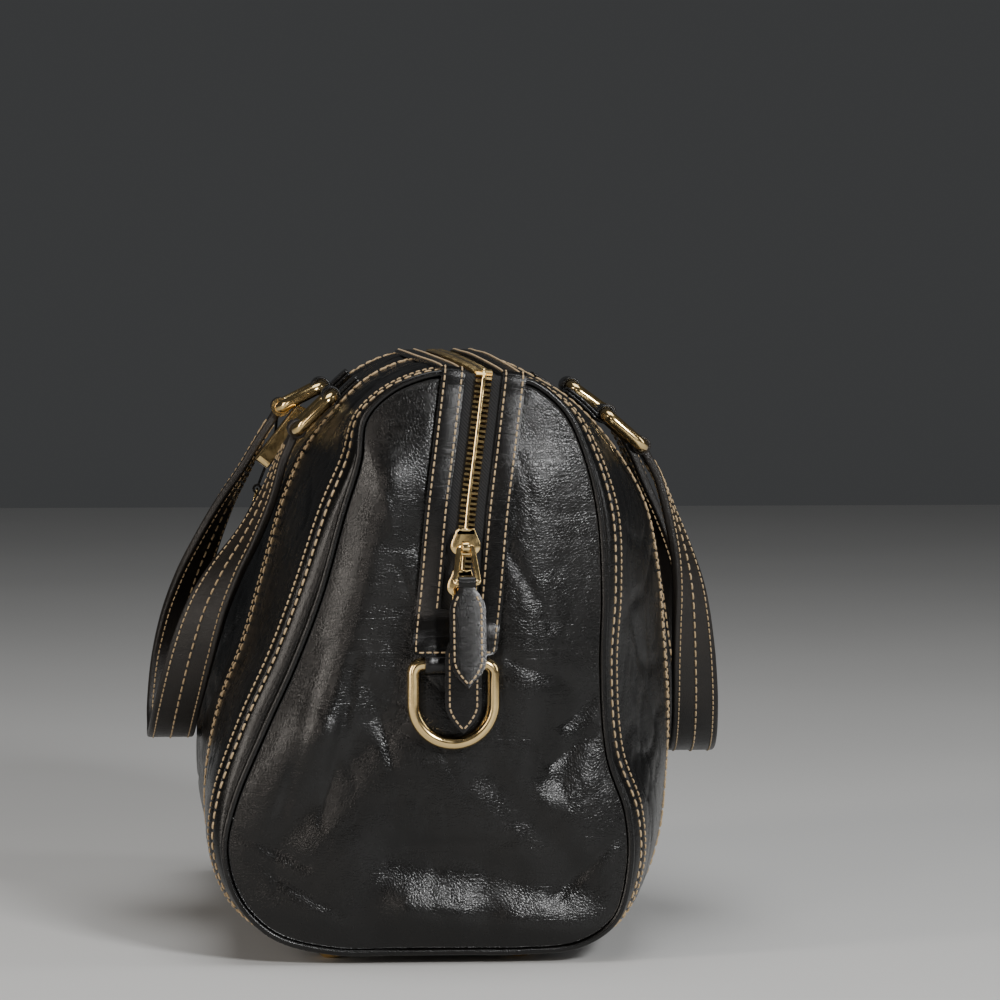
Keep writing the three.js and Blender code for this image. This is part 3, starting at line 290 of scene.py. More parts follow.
def lofted(rings):
    """Closed mesh through rings of points, with a flat cap at each end."""
    rings = np.asarray(rings, float)
    layers, count = rings.shape[:2]
    faces = grid_faces(layers, count, closed_columns=True)
    faces.append(tuple(range(count)))
    faces.append(tuple((layers - 1) * count + i for i in reversed(range(count))))
    return rings.reshape(-1, 3), faces


def tube(places, acrosses, ups, shape, closed=False):
    """A section of (across, up) pairs carried along places, with flat ends when it isn't closed."""
    shape = np.asarray(shape, float)
    rings = places[:, None] + acrosses[:, None] * shape[None, :, :1] + ups[:, None] * shape[None, :, 1:]
    if closed:
        return rings.reshape(-1, 3), grid_faces(*rings.shape[:2], closed_rows=True, closed_columns=True)
    return lofted(rings)


def full_turn(sides):
    return np.arange(sides) * 2 * np.pi / sides


def quarter_arc(radius, steps):
    turn = np.radians(np.linspace(0, 90, steps))
    return np.stack([np.cos(turn), np.sin(turn)], axis=1) * radius


def round_section(radius, sides=20):
    turn = full_turn(sides)
    return np.stack([radius * np.cos(turn), radius * np.sin(turn)], axis=1)


def strap_section(width, thickness, edge, steps=4):
    """A flat strap's section with rounded edges."""
    corners = []
    for sx, sy, start in ((1, -1, -90), (1, 1, 0), (-1, 1, 90), (-1, -1, 180)):
        for k in range(steps + 1):
            turn = math.radians(start + 90 * k / steps)
            corners.append((sx * (width / 2 - edge) + edge * math.cos(turn),
                            sy * (thickness / 2 - edge) + edge * math.sin(turn)))
    return corners


def along_path(places, keep, closed=False):
    """Across and up directions on a path, where across stays as near to keep as it can."""
    before = np.roll(places, 1, axis=0)
    after = np.roll(places, -1, axis=0)
    if not closed:
        before[0], after[-1] = places[0], places[-1]
    run = unit(after - before)
    wish = np.broadcast_to(np.asarray(keep, float), places.shape)
    across = unit(wish - run * np.sum(wish * run, axis=1, keepdims=True))
    return across, np.cross(run, across)


def mirrored(points, faces):
    return np.asarray(points) * MIRROR, [tuple(reversed(f)) for f in faces]


def merged(parts):
    """Several (points, faces) pairs as one."""
    points, faces, count = [], [], 0
    for part_points, part_faces in parts:
        points.append(np.asarray(part_points, float))
        faces += [tuple(i + count for i in f) for f in part_faces]
        count += len(part_points)
    return np.concatenate(points), faces


def pair(name, made, finish, slot, node):
    """A piece at the near end and its mirror image at the far end."""
    piece(f"{name}_near", *made, finish, slot=slot, nodes=[f"{node}_near"])
    piece(f"{name}_far", *mirrored(*made), finish, slot=slot, nodes=[f"{node}_far"])


# %% [markdown]
# ## Finishes
# The leather is dyed black and lightly glazed: the dye is not quite even, the glaze dulls where the
# grain is raised, and fine creases catch the light. All of that is drawn by noise in the nodes, at the
# size that it has on a hide: about a millimetre for the grain and some centimetres for the clouds.

# %% Finishes
class Finish:
    """A material whose look is drawn by noise, at real sizes, in the piece's own space."""

    def __init__(self, name):
        self.material = bpy.data.materials.new(name)
        self.material.use_nodes = True
        self.nodes = self.material.node_tree.nodes
        self.place = self.add("ShaderNodeTexCoord").outputs["Object"]
        self.relief = None

    def add(self, kind, **values):
        node = self.nodes.new(kind)
        for key, value in values.items():
            if key in node.inputs.keys():
                node.inputs[key].default_value = value
            else:
                setattr(node, key, value)
        return node

    def link(self, source, target):
        self.material.node_tree.links.new(source, target)

    def texture(self, kind="ShaderNodeTexNoise", output="Fac", place=None, **values):
        node = self.add(kind, **values)
        self.link(place or self.place, node.inputs["Vector"])
        return node.outputs[output]

    def stretched(self, scale, turn=(0, 0, 0), **values):
        """Noise drawn out along the axes, as wrinkles and scratches are."""
        mapping = self.add("ShaderNodeMapping", Scale=scale, Rotation=turn)
        self.link(self.place, mapping.inputs["Vector"])
        return self.texture(place=mapping.outputs["Vector"], **values)

    def ramp(self, source, stops):
        """A colour ramp after source, from (place, colour) stops. A number stands for a grey."""
        made = self.add("ShaderNodeValToRGB")
        elements = made.color_ramp.elements
        for i, (place, colour) in enumerate(stops):
            element = elements[i] if i < 2 else elements.new(place)
            element.position = place
            element.color = (*np.broadcast_to(colour, 3).tolist(), 1)
        self.link(source, made.inputs["Fac"])
        return made.outputs["Color"]

    def bump(self, height, strength, distance):
        """Adds a height, at most distance in metres, to the relief so far."""
        node = self.add("ShaderNodeBump", Strength=strength, Distance=distance)
        self.link(height, node.inputs["Height"])
        if self.relief:
            self.link(self.relief, node.inputs["Normal"])
        self.relief = node.outputs["Normal"]

    def done(self, values):
        """Gives the surface its values, each a number or what a texture gives."""
        surface = self.nodes["Principled BSDF"]
        for key, value in values.items():
            if isinstance(value, bpy.types.NodeSocket):
                self.link(value, surface.inputs[key])
            else:
                surface.inputs[key].default_value = value
        if self.relief:
            self.link(self.relief, surface.inputs["Normal"])
        return self.material


def leather_finish(name, dark, light, gloss, dull, grain, grain_depth, wrinkle_depth):
    """Glazed leather: colour clouds, a cell grain, short wrinkles and long fine scratches."""
    made = Finish(name)
    clouds = made.texture(Scale=22.0, Detail=6.0, Roughness=0.6)
    glaze = made.texture(Scale=60.0, Detail=8.0, Roughness=0.7)
    cells = made.texture("ShaderNodeTexVoronoi", "Distance", feature="DISTANCE_TO_EDGE", Scale=grain)
    wrinkles = made.stretched((1.0, 0.7, 1.8), Scale=250.0, Detail=5.0, Roughness=0.6, Distortion=0.5)
    lines = made.stretched((2.0, 0.5, 7.0), (0.35, 0.0, 0.2), Scale=17.0, Detail=2.0, Roughness=0.5)
    made.bump(wrinkles, 1.0, wrinkle_depth)
    made.bump(made.ramp(lines, [(0.485, 1), (0.515, 1), (0.5, 0)]), 0.5, 0.00006)
    made.bump(made.ramp(cells, [(0.0, 0), (0.22, 1)]), 0.6, grain_depth)
    return made.done({
        "Base Color": made.ramp(clouds, [(0.35, dark), (0.68, light)]),
        "Roughness": made.ramp(glaze, [(0.3, gloss), (0.75, dull)]),
        "Specular IOR Level": 0.32,
        "Coat Weight": 0.1,
        "Coat Roughness": 0.15,
        "Coat Normal": made.relief,
    })


def metal_finish(name, colour, gloss, dull):
    """Polished brass with faint wipe marks."""
    made = Finish(name)
    wear = made.texture(Scale=300.0, Detail=5.0, Roughness=0.6)
    tone = made.texture(Scale=60.0, Detail=3.0)
    made.bump(wear, 0.4, 0.00003)
    return made.done({
        "Base Color": made.ramp(tone, [(0.35, [c * 0.86 for c in colour]), (0.65, colour)]),
        "Roughness": made.ramp(wear, [(0.35, gloss), (0.8, dull)]),
        "Metallic": 1.0,
    })


def thread_finish(name, pale, deep_painted_shade):
    """Waxed linen thread: a twist of plies along each stitch, with painted shade in the hollows between
    the plies.
    """
    made = Finish(name)
    plies = made.texture(Scale=2200.0, Detail=3.0, Roughness=0.6)
    made.bump(plies, 0.5, 0.00012)
    return made.done({
        # The colour falls from pale to the deep tone where the plies' relief is low. That is the thread's
        # own uneven tone with painted shade in the hollows of the twist.
        "Base Color": made.ramp(plies, [(0.35, deep_painted_shade), (0.62, pale)]),
        "Roughness": 0.55,
        "Sheen Weight": 0.2,
    })


def tape_finish(name, colour):
    """Woven zip tape: fine ribs both ways."""
    made = Finish(name)
    ribs = made.texture("ShaderNodeTexWave", Scale=420.0, Distortion=0.6, bands_direction="DIAGONAL")
    made.bump(ribs, 0.6, 0.0002)
    return made.done({
        "Base Color": made.ramp(ribs, [(0.2, [c * 0.5 for c in colour]), (0.9, colour)]),
        "Roughness": 0.85,
    })


grained_leather = leather_finish(
    "grained black leather", dark=(0.0016, 0.0015, 0.0014), light=(0.005, 0.0045, 0.004),
    gloss=0.21, dull=0.36, grain=850.0, grain_depth=0.00007, wrinkle_depth=0.00015)
smooth_leather = leather_finish(
    "smooth black leather", dark=(0.0016, 0.0015, 0.0014), light=(0.0045, 0.004, 0.0036),
    gloss=0.2, dull=0.32, grain=1300.0, grain_depth=0.00004, wrinkle_depth=0.00009)
strap_leather = leather_finish(
    "strap leather", dark=(0.006, 0.005, 0.0042), light=(0.018, 0.0145, 0.012),
    gloss=0.34, dull=0.5, grain=1100.0, grain_depth=0.0001, wrinkle_depth=0.00012)
brass = metal_finish("polished brass", (0.82, 0.6, 0.28), 0.12, 0.26)
satin_brass = metal_finish("satin brass", (0.62, 0.46, 0.22), 0.3, 0.45)
# The second colour is the thread's tone in shade, painted into the hollows of the twist.
thread = thread_finish("waxed linen thread", (0.52, 0.375, 0.20), (0.28, 0.19, 0.095))
tape_cloth = tape_finish("zip tape", (0.012, 0.012, 0.013))
print("Finishes:", len(bpy.data.materials))

# %% [markdown]
# ## The soft surface of a hide
# A used leather bag is never quite flat. Two noises move the skin a little along its own outward
# direction: a broad one for the sag between the seams and a ridged one for the short creases. Both
# fade to nothing at the seams, where the thread holds the leather down.

# %% The soft surface of a hide
BROAD = 1.1
CREASE = 0.9
ROLL = 0.9
ROLL_WIDTH = 1.6
CALM_WIDTH = 14


def cloud(points, size, seed):
    """Smooth noise from -1 to 1 at each point, with features about as wide as size."""
    flat = np.asarray(points).reshape(-1, 3) / size + seed
    return np.array([noise.noise(Vector(p)) for p in flat]).reshape(np.shape(points)[:-1])


def hide_lift(grid, seed=3.0, broad=BROAD, crease=CREASE):
    """How far the hide stands out at each point: sag, short upright creases and long level ones."""
    ridges = 1 - np.abs(cloud(grid * np.array([1.0, 1.0, 0.6]), 15, seed + 7)) * 4
    waves = 1 - np.abs(cloud(grid * np.array([0.7, 1.0, 1.0]), 33, seed + 19)) * 3.5
    short = 0.55 * np.clip(ridges, 0, 1) ** 3
    long = np.clip(waves, 0, 1) ** 4
    return broad * cloud(grid, 42, seed) - crease * (short + long)


def shell(outer, inner):
    """Closed sheet between two grids of the same size."""
    rows, columns = outer.shape[:2]
    faces = grid_faces(rows, columns)
    count = rows * columns
    faces += [tuple(reversed([i + count for i in f])) for f in faces]
    rim = [(0, c) for c in range(columns)] + [(r, columns - 1) for r in range(1, rows)]
    rim += [(rows - 1, c) for c in reversed(range(columns - 1))]
    rim += [(r, 0) for r in reversed(range(1, rows - 1))]
    loop = [r * columns + c for r, c in rim]
    for a, b in zip(loop, loop[1:] + loop[:1]):
        faces.append((a, b, b + count, a + count))
    return np.concatenate([outer.reshape(-1, 3), inner.reshape(-1, 3)]), faces


ROUND_STEPS = 320
stations = np.linspace(0, LAST_STATION, ROUND_STEPS)
SIDE_RUN = (LENGTH - SEAM_SPACING) / 2 - BAND
CENTRE_RUN = SEAM_SPACING / 2


def panel(v0, v1, steps, lift_of):
    """Outer and inner grid of a panel of the skin, its edges rolled in at the seams."""
    grid = skin(np.linspace(v0, v1, steps), stations)
    normal = outward(grid)
    run = np.concatenate(
        [np.zeros((1, ROUND_STEPS)), np.cumsum(np.linalg.norm(np.diff(grid, axis=0), axis=2), axis=0)])
    from_edge = np.minimum(run, run[-1:] - run)
    roll = ROLL * np.exp(-((from_edge / ROLL_WIDTH) ** 2))
    calm = 1 - np.exp(-((from_edge / CALM_WIDTH) ** 2))
    lift = lift_of(grid) * calm - roll
    return shell(grid + normal * lift[..., None], grid - normal * LEATHER)


centre_gap = GAP / CENTRE_RUN / 2
side_gap = GAP / SIDE_RUN / 2
centre = panel(AT_SEAM + centre_gap, LAST_SECTION - AT_SEAM - centre_gap, 90, hide_lift)
piece("leather_centre", *centre, grained_leather, slot="grained_leather", nodes=["centre_panel"])
side = panel(AT_BAND + side_gap, AT_SEAM - side_gap, 56, hide_lift)
pair("leather_side", side, grained_leather, "grained_leather", "side_panel")


def band_lift(grid):
    return hide_lift(grid, broad=0.3, crease=0.25)


band = panel(AT_END + (PIPING + GAP) / BAND, AT_BAND - GAP / BAND / 2, 14, band_lift)
pair("leather_band", band, smooth_leather, "smooth_leather", "end_band")

end_rim = skin([AT_END], stations)[0]
piping = tube(end_rim, *along_path(end_rim, (1, 0, 0)), round_section(PIPING, 14))
pair("piping_cord", piping, smooth_leather, "smooth_leather", "piping")
print("The centre panel has", len(centre[1]), "faces")

# %% [markdown]
# ## The end panels
# The two ends are single sheets that dome out and slump. Their long soft folds are drawn as ridges and
# hollows that each run from one place to another, so that they stay where the real ones are. Short
# creases fan from the corners, where the leather is pulled round the base.

# %% The end panels
FOLDS = {  # from (across, up), to (across, up), width, rise: the table of the CAD source
    "long ridge in front of the zip": ((-0.23, 0.80), (-0.55, 0.38), 0.15, 0.42),
    "hollow in front of the zip": ((-0.03, 0.70), (-0.20, 0.40), 0.13, -0.26),
    "ridge behind the zip": ((0.52, 0.80), (0.50, 0.45), 0.16, 0.22),
    "dent at the back edge": ((0.76, 0.42), (0.62, 0.30), 0.12, -0.40),
    "crease towards the back corner": ((0.30, 0.30), (0.72, 0.14), 0.10, -0.25),
    "low fold above the base": ((-0.45, 0.15), (0.60, 0.13), 0.16, 0.40),
    "hollow above the low fold": ((-0.35, 0.24), (0.35, 0.22), 0.13, -0.28),
}
CREASES = {  # creases of the hide, and folds that move those above to where they really are
    "crease down from the ridge": ((-0.50, 0.52), (-0.72, 0.24), 0.035, -0.10),
    "second crease down from the ridge": ((-0.36, 0.50), (-0.52, 0.22), 0.03, -0.08),
    "front corner crease": ((-0.86, 0.16), (-0.45, 0.07), 0.035, -0.12),
    "upper front corner crease": ((-0.92, 0.20), (-0.60, 0.15), 0.03, -0.09),
    "crease above the ring": ((-0.30, 0.46), (-0.18, 0.33), 0.03, -0.07),
    "pinch at the back edge": ((0.90, 0.44), (0.66, 0.39), 0.035, -0.16),
    "second pinch at the back edge": ((0.88, 0.38), (0.60, 0.32), 0.03, -0.12),
    "back corner crease": ((0.93, 0.19), (0.62, 0.09), 0.035, -0.12),
    "crease behind the zip": ((0.36, 0.70), (0.60, 0.56), 0.03, -0.07),
    "crease low behind the zip": ((0.40, 0.50), (0.80, 0.44), 0.03, -0.07),
    "crease under the ring": ((-0.10, 0.18), (0.40, 0.19), 0.03, -0.07),
    "low fold brought down": ((-0.45, 0.15), (0.60, 0.13), 0.16, -0.40),
    "hollow filled over it": ((-0.35, 0.24), (0.35, 0.22), 0.13, 0.22),
    "crest over the base": ((-0.10, 0.062), (0.14, 0.05), 0.12, 0.62),
    "crest over the back of the base": ((0.42, 0.038), (0.80, 0.02), 0.12, 0.55),
    "hollow over the crest": ((-0.18, 0.165), (0.25, 0.145), 0.13, -0.34),
    "hollow over the back crest": ((0.45, 0.125), (0.78, 0.10), 0.12, -0.30),
    "ridge down to the front edge": ((-0.55, 0.38), (-0.84, 0.28), 0.12, 0.22),
    "hollow before the long ridge": ((-0.44, 0.70), (-0.64, 0.45), 0.09, -0.22),
    "hollow below the long ridge": ((-0.36, 0.34), (-0.72, 0.19), 0.10, -0.22),
    "short crest at the front corner": ((-0.80, 0.075), (-0.50, 0.06), 0.09, 0.22),
}
PANEL_CENTRE = np.array([0.1 * END_HALF, FOOT_HEIGHT + 0.42 * BODY_HEIGHT])
RIM_LIFT = 0.6
ZIP_FALL = [(0.36, 0.085), (0.507, 0.118), (0.600, 0.150), (0.756, 0.192), (0.863, 0.232), (0.975, 0.274)]
ZIP_TOP = FOOT_HEIGHT + ZIP_CROSSING["end"][1] * BODY_HEIGHT
SLOT_LENGTH = 103
SLOT_END = ZIP_TOP - SLOT_LENGTH
WELL_HALF, WELL_SLOPE, WELL_DEPTH = 11.5, 2.5, 4.0
WELL_BELOW, WELL_EASE = 5, 4
FLAT_HALF, FLAT_SLOPE = 21, 4
FLAT_BELOW, FLAT_EASE = 24, 6
NEARLY_HUB = 0.985

closing = np.linspace(end_rim[-1], end_rim[0], 8)[1:-1]
rim = np.concatenate([end_rim, closing])[:, 1:]
fall_points = [(across * END_HALF, FOOT_HEIGHT + up * BODY_HEIGHT) for up, across in ZIP_FALL]
fall = fair(fall_points, np.linspace(0, 1, 400))


def zip_line(z):
    return np.interp(z, fall[:, 1], fall[:, 0])


def zip_side(z):
    """Direction across the zip, in the end's plane, at height z."""
    step = 2.0
    dy = zip_line(np.asarray(z) + step) - zip_line(np.asarray(z) - step)
    run = np.hypot(dy, 2 * step)
    return 2 * step / run, -dy / run


def rim_share(y, z):
    """How far a place is from the panel's centre, as a share of the way to its rim."""
    turn = np.arctan2(z - PANEL_CENTRE[1], y - PANEL_CENTRE[0])
    off = rim - PANEL_CENTRE
    rim_turn = np.arctan2(off[:, 1], off[:, 0])
    order = np.argsort(rim_turn)
    reach = np.interp(turn, rim_turn[order], np.hypot(*off[order].T), period=2 * np.pi)
    return np.hypot(y - PANEL_CENTRE[0], z - PANEL_CENTRE[1]) / reach


def folds_at(y, z, table):
    total = np.zeros_like(y)
    for (y0, z0), (y1, z1), width, rise in table.values():
        ay, by = y0 * END_HALF, y1 * END_HALF
        az, bz = FOOT_HEIGHT + z0 * BODY_HEIGHT, FOOT_HEIGHT + z1 * BODY_HEIGHT
        span = (by - ay) ** 2 + (bz - az) ** 2
        t = np.clip(((y - ay) * (by - ay) + (z - az) * (bz - az)) / span, 0, 1)
        off = np.hypot(y - ay - t * (by - ay), z - az - t * (bz - az)) / (width * END_HALF)
        total += rise * END_DOME * np.exp(-(off**2))
    return total


def end_surface(y, z):
    share = np.minimum(rim_share(y, z), 1)
    return end_plane(z) + RIM_LIFT + END_DOME * (1 - share**2.5) + folds_at(y, z, FOLDS) * (1 - share**6)


def end_panel():
    """The end's sheet, in rings from the rim to its middle, pressed down where the zip lies on it."""
    out = unit(np.roll(rim, -1, axis=0) - np.roll(rim, 1, axis=0))
    inset = rim + np.stack([-out[:, 1], out[:, 0]], axis=1) * (PIPING + GAP)
    shares = 1 - np.linspace(0, NEARLY_HUB, 76) ** 1.15
    places = PANEL_CENTRE + (inset - PANEL_CENTRE) * shares[:, None, None]
    y, z = places[..., 0], places[..., 1]
    x = end_surface(y, z)
    share = np.minimum(rim_share(y, z), 1)
    grid = np.stack([x, y, z], axis=-1)
    small = folds_at(y, z, CREASES) + hide_lift(grid, seed=11.0, broad=0.8, crease=0.3)
    x = x + small * (1 - share**8)
    across = np.abs(y - zip_line(z)) * zip_side(z)[0]
    above = z - SLOT_END
    sunk = np.clip((WELL_HALF - across) / WELL_SLOPE, 0, 1)
    sunk *= np.clip((above + WELL_BELOW) / WELL_EASE, 0, 1)
    under = np.clip((FLAT_HALF - across) / FLAT_SLOPE, 0, 1)
    under *= np.clip((above + FLAT_BELOW) / FLAT_EASE, 0, 1)
    x = x - small * under * 0.9 - WELL_DEPTH * sunk - GAP * under
    rows, columns = x.shape
    points = np.stack([x, y, z], axis=-1).reshape(-1, 3)
    hub = [points[-columns:].mean(axis=0)]
    faces = grid_faces(rows, columns, closed_columns=True)
    faces += [((rows - 1) * columns + c, rows * columns, (rows - 1) * columns + (c + 1) % columns)
              for c in range(columns)]
    points = np.concatenate([points, hub])
    count = len(points)
    faces += [tuple(reversed([i + count for i in f])) for f in faces]
    faces += [(c, count + c, count + (c + 1) % columns, (c + 1) % columns) for c in range(columns)]
    return np.concatenate([points, points - [LEATHER, 0, 0]]), faces


end_points, end_faces = end_panel()
end = end_points, [tuple(reversed(f)) for f in end_faces]
pair("leather_end", end, grained_leather, "grained_leather", "end_panel")
print("Each end panel has", len(end[1]), "faces")

# %% [markdown]
# ## The zip's leather surround
# Two strips of smooth leather run from one end, over the top, to the other end, and close below each
# slot into a tongue that folds round the bar of the end ring. They lie on whatever is under them, so
# each row across the strips is worked out from the end panel, the piping or the top of the bag, and
# a fair curve joins the rows.

# %% Rows across the zip
ZIP_SEAT = 0.8
SLOT_HALF = 8.25
STRIP = 10.5
STRIP_HALF = SLOT_HALF + STRIP
STRIP_THICK = 1.8
TONGUE_HALF = 12.5
TONGUE_TAIL = 9
RAMP_RISE = 2.2
RAMP_DROP = 9
BAR_DROP = 22

ring_low, ring_high = in_pattern("ring_near")
ring_wire = (ring_high[0] - ring_low[0]) / 2 / math.cos(math.pi / 8)
ring_half_width = (ring_high[1] - ring_low[1]) / 2
bar_x = (ring_low[0] + ring_high[0]) / 2
bar_z = SLOT_END - BAR_DROP
bar_y = float(zip_line(bar_z))
fold_reach = ring_wire + GAP
columns = np.concatenate([np.linspace(0, 1, 6), np.linspace(1, 2, 5)[1:], np.linspace(2, 3, 6)[1:]])
MIDDLE_COLUMN = len(columns) // 2


def offsets_for(half):
    return np.interp(columns, [0, 1, 2, 3], [-half, -SLOT_HALF, SLOT_HALF, half])


def row_on_panel(z, half=STRIP_HALF, rise=0.0):
    off = offsets_for(half)
    sy, sz = zip_side(z)
    y, height = zip_line(z) + sy * off, z + sz * off
    return np.stack([end_surface(y, height) + ZIP_SEAT + rise, y, height], axis=1), (1, 0, 0)


def row_over_piping(degrees):
    front, back = sections[AT_END][0], sections[AT_END][-1]
    across = unit(back - front)
    out = np.array([math.cos(math.radians(degrees)), 0, math.sin(math.radians(degrees))])
    out = unit(out - across * (out @ across))
    return (front + back) / 2 + offsets_for(STRIP_HALF)[:, None] * across + out * (PIPING + GAP), out


def row_on_top(v):
    front, back = skin([v], [0, LAST_STATION])[0]
    across = unit(back - front)
    along = skin([min(v + 0.05, LAST_SECTION)], [0])[0, 0] - skin([max(v - 0.05, 0)], [0])[0, 0]
    out = unit(np.cross(along, across))
    out = out if out[2] > 0 else -out
    return (front + back) / 2 + offsets_for(STRIP_HALF)[:, None] * across + out * GAP, out


def row_round_bar(degrees, rise=0.0):
    out = np.array([math.cos(math.radians(degrees)), 0, math.sin(math.radians(degrees))])
    middle = np.array([bar_x, bar_y, bar_z + rise]) + fold_reach * out
    return middle + offsets_for(TONGUE_HALF)[:, None] * [0, 1, 0], out


def row_above_bar(share, half):
    """A row part of the way from the bar's fold up to the panel, at its own width."""
    fold = row_round_bar(395)[0]
    ramp_row = row_on_panel(SLOT_END - RAMP_DROP, TONGUE_HALF, RAMP_RISE)[0]
    middle = (fold * (1 - share) + ramp_row * share).mean(axis=0)
    return middle + offsets_for(half)[:, None] * [0, 1, 0], (1, 0, 0)


tongue_rows = [row_round_bar(180, TONGUE_TAIL), row_round_bar(180, TONGUE_TAIL / 2)]
tongue_rows += [row_round_bar(degrees) for degrees in (180, 225, 270, 315, 360, 395)]
tongue_rows += [row_above_bar(share, half) for share, half in (
    (0.12, 13.0), (0.22, 17.0), (0.36, 18.5), (0.6, STRIP_HALF))]
tongue_rows += [row_on_panel(SLOT_END - RAMP_DROP, STRIP_HALF, RAMP_RISE), row_on_panel(SLOT_END - 3)]
half_rows = tongue_rows + [row_on_panel(z) for z in np.linspace(SLOT_END, ZIP_TOP - 5, 17)]
half_rows += [row_over_piping(degrees) for degrees in (15, 52, 90)]
half_rows += [row_on_top(v) for v in (0.45, 1, 1.25, 1.5, 1.75, 2, 2.35, 2.7, AT_MID)]
row_points = np.array([row for row, out in half_rows])
row_outs = np.array([out for row, out in half_rows], float)
row_points = np.concatenate([row_points, row_points[-2::-1] * MIRROR])
row_outs = np.concatenate([row_outs, row_outs[-2::-1] * MIRROR])
first_slot = len(tongue_rows)


def zip_rows(first, last, pitch):
    """Fine rows between two control rows: points across, outward directions and their row numbers."""
    dense = np.linspace(first, last, 1200)
    centre_line = fair(row_points[:, MIDDLE_COLUMN], dense / (len(row_points) - 1))
    index = read_at(dense, even_steps(centre_line, pitch))
    index = np.concatenate([[first], index, [last]])
    share = index / (len(row_points) - 1)
    return fair(row_points, share), unit(fair(row_outs, share)), index


def wall(inner, outer, keep=lambda r, c: True):
    """Closed sheet between two grids, with side faces round the cells that are left out."""
    rows, count_across = outer.shape[:2]
    offset = rows * count_across
    faces = []

    def kept(r, c):
        return 0 <= r < rows - 1 and 0 <= c < count_across - 1 and keep(r, c)

    for r in range(rows - 1):
        for c in range(count_across - 1):
            if not kept(r, c):
                continue
            a, b = r * count_across + c, (r + 1) * count_across + c
            d, e = b + 1, a + 1
            faces.append((offset + a, offset + e, offset + d, offset + b))
            faces.append((a, b, d, e))
            edges = ((a, b, (r, c - 1)), (b, d, (r + 1, c)), (d, e, (r, c + 1)), (e, a, (r - 1, c)))
            for p, q, beside in edges:
                if not kept(*beside):
                    faces.append((q, p, offset + p, offset + q))
    used = sorted({i for f in faces for i in f})
    number = {old: new for new, old in enumerate(used)}
    points = np.concatenate([inner.reshape(-1, 3), outer.reshape(-1, 3)])[used]
    return points, [tuple(number[i] for i in f) for f in faces]


def facing_out(points, faces):
    """The same faces, turned so that the closed mesh has its outside outside."""
    volume = 0.0
    for face in faces:
        a = points[face[0]]
        for i, j in zip(face[1:], face[2:]):
            volume += a @ np.cross(points[i], points[j])
    return (points, faces) if volume > 0 else (points, [tuple(reversed(f)) for f in faces])


LAST_ROW = len(row_points) - 1
rows, outs, index = zip_rows(0, LAST_ROW, 1.2)
crown = 0.3 * np.sin(np.pi * np.clip(np.where(columns < 1.5, columns, 3 - columns), 0, 1))
top = rows + outs[:, None] * (STRIP_THICK + crown)[None, :, None]
in_slot = (index[:-1] >= first_slot - 0.01) & (index[1:] <= LAST_ROW - first_slot + 0.01)
surround = facing_out(*wall(rows, top, lambda r, c: not (5 <= c <= 8 and in_slot[r])))
zip_strips = piece("zip_strips", *surround, smooth_leather, slot="smooth_leather", nodes=["zip_surround"])
soft_edges(zip_strips, 0.45)
zip_length = np.linalg.norm(np.diff(rows[:, MIDDLE_COLUMN], axis=0), axis=1).sum()
print("The zip is", round(float(zip_length)), "mm long")

# %% [markdown]
# ## Tape and teeth
# The teeth of a metal zip are small cast blocks, one row on each tape, set half a step apart so that
# they lock. Each is a block with its top edges cut back, which is enough to glitter as real ones do.

# %% Tape and teeth
TAPE_HALF = 9.7
TAPE_THICK = 0.8
TOOTH_STEP = 2.3
TOOTH_LENGTH = 1.62
TOOTH_OUT = 3.75
TOOTH_IN = -1.0
TOOTH_THICK = 2.2
TOOTH_BEVEL = 0.3
CORE_WIDTH = 1.8
CORE_THICK = 2.4

rows, outs, index = zip_rows(first_slot, LAST_ROW - first_slot, 2.5)
acrosses = unit(rows[:, -1] - rows[:, 0])
centre_line = rows[:, MIDDLE_COLUMN]
tape_off = np.linspace(-TAPE_HALF, TAPE_HALF, 9)[None, :, None] * acrosses[:, None]
tape_top = centre_line[:, None] + tape_off - outs[:, None] * GAP
tape = facing_out(*wall(tape_top - outs[:, None] * TAPE_THICK, tape_top))
piece("zip_cloth", *tape, tape_cloth, slot="black_tape", nodes=["zip_tape"])


def zip_teeth(side):
    at = even_steps(centre_line, TOOTH_STEP)
    at = at[:-1] + (0.5 * np.diff(at) if side > 0 else 0)
    places, out, across = read_at(centre_line, at), unit(read_at(outs, at)), unit(read_at(acrosses, at))
    run = np.cross(out, across)
    corners = []
    for low_part, inset in ((0.0, 0.0), (0.62, 0.0), (1.0, TOOTH_BEVEL)):
        for x, y in ((-1, 0), (1, 0), (1, 1), (-1, 1)):
            reach = TOOTH_OUT - inset if y else TOOTH_IN + inset
            corners.append(places + run * x * (TOOTH_LENGTH / 2 - inset) + across * side * reach
                           + out * TOOTH_THICK * low_part)
    points = np.stack(corners, axis=1).reshape(-1, 3)
    faces = []
    for i in range(len(places)):
        base = 12 * i
        faces.append((base, base + 1, base + 2, base + 3))
        faces.append((base + 8, base + 11, base + 10, base + 9))
        for start in (base, base + 4):
            for k in range(4):
                n = (k + 1) % 4
                faces.append((start + k, start + 4 + k, start + 4 + n, start + n))
    return facing_out(points, faces)


def zip_core():
    """The locked heads of the teeth: one narrow ridge along the middle."""
    shape = strap_section(CORE_WIDTH, CORE_THICK, 0.7)
    return facing_out(*tube(centre_line + outs * CORE_THICK / 2, acrosses, outs, shape))


teeth = merged([zip_teeth(-1), zip_teeth(1), zip_core()])
piece("zip_teeth", *teeth, brass, slot="brass", nodes=["zip_chain"], is_smooth=False)
print("The zip's teeth and ridge have", len(teeth[1]), "faces")

# %% [markdown]
# ## Rings and rolls
# A ring is a round wire bent along a path, so a circle is carried along the path. Where leather goes
# round a ring it makes a roll: a short tube whose hole clears the wire.

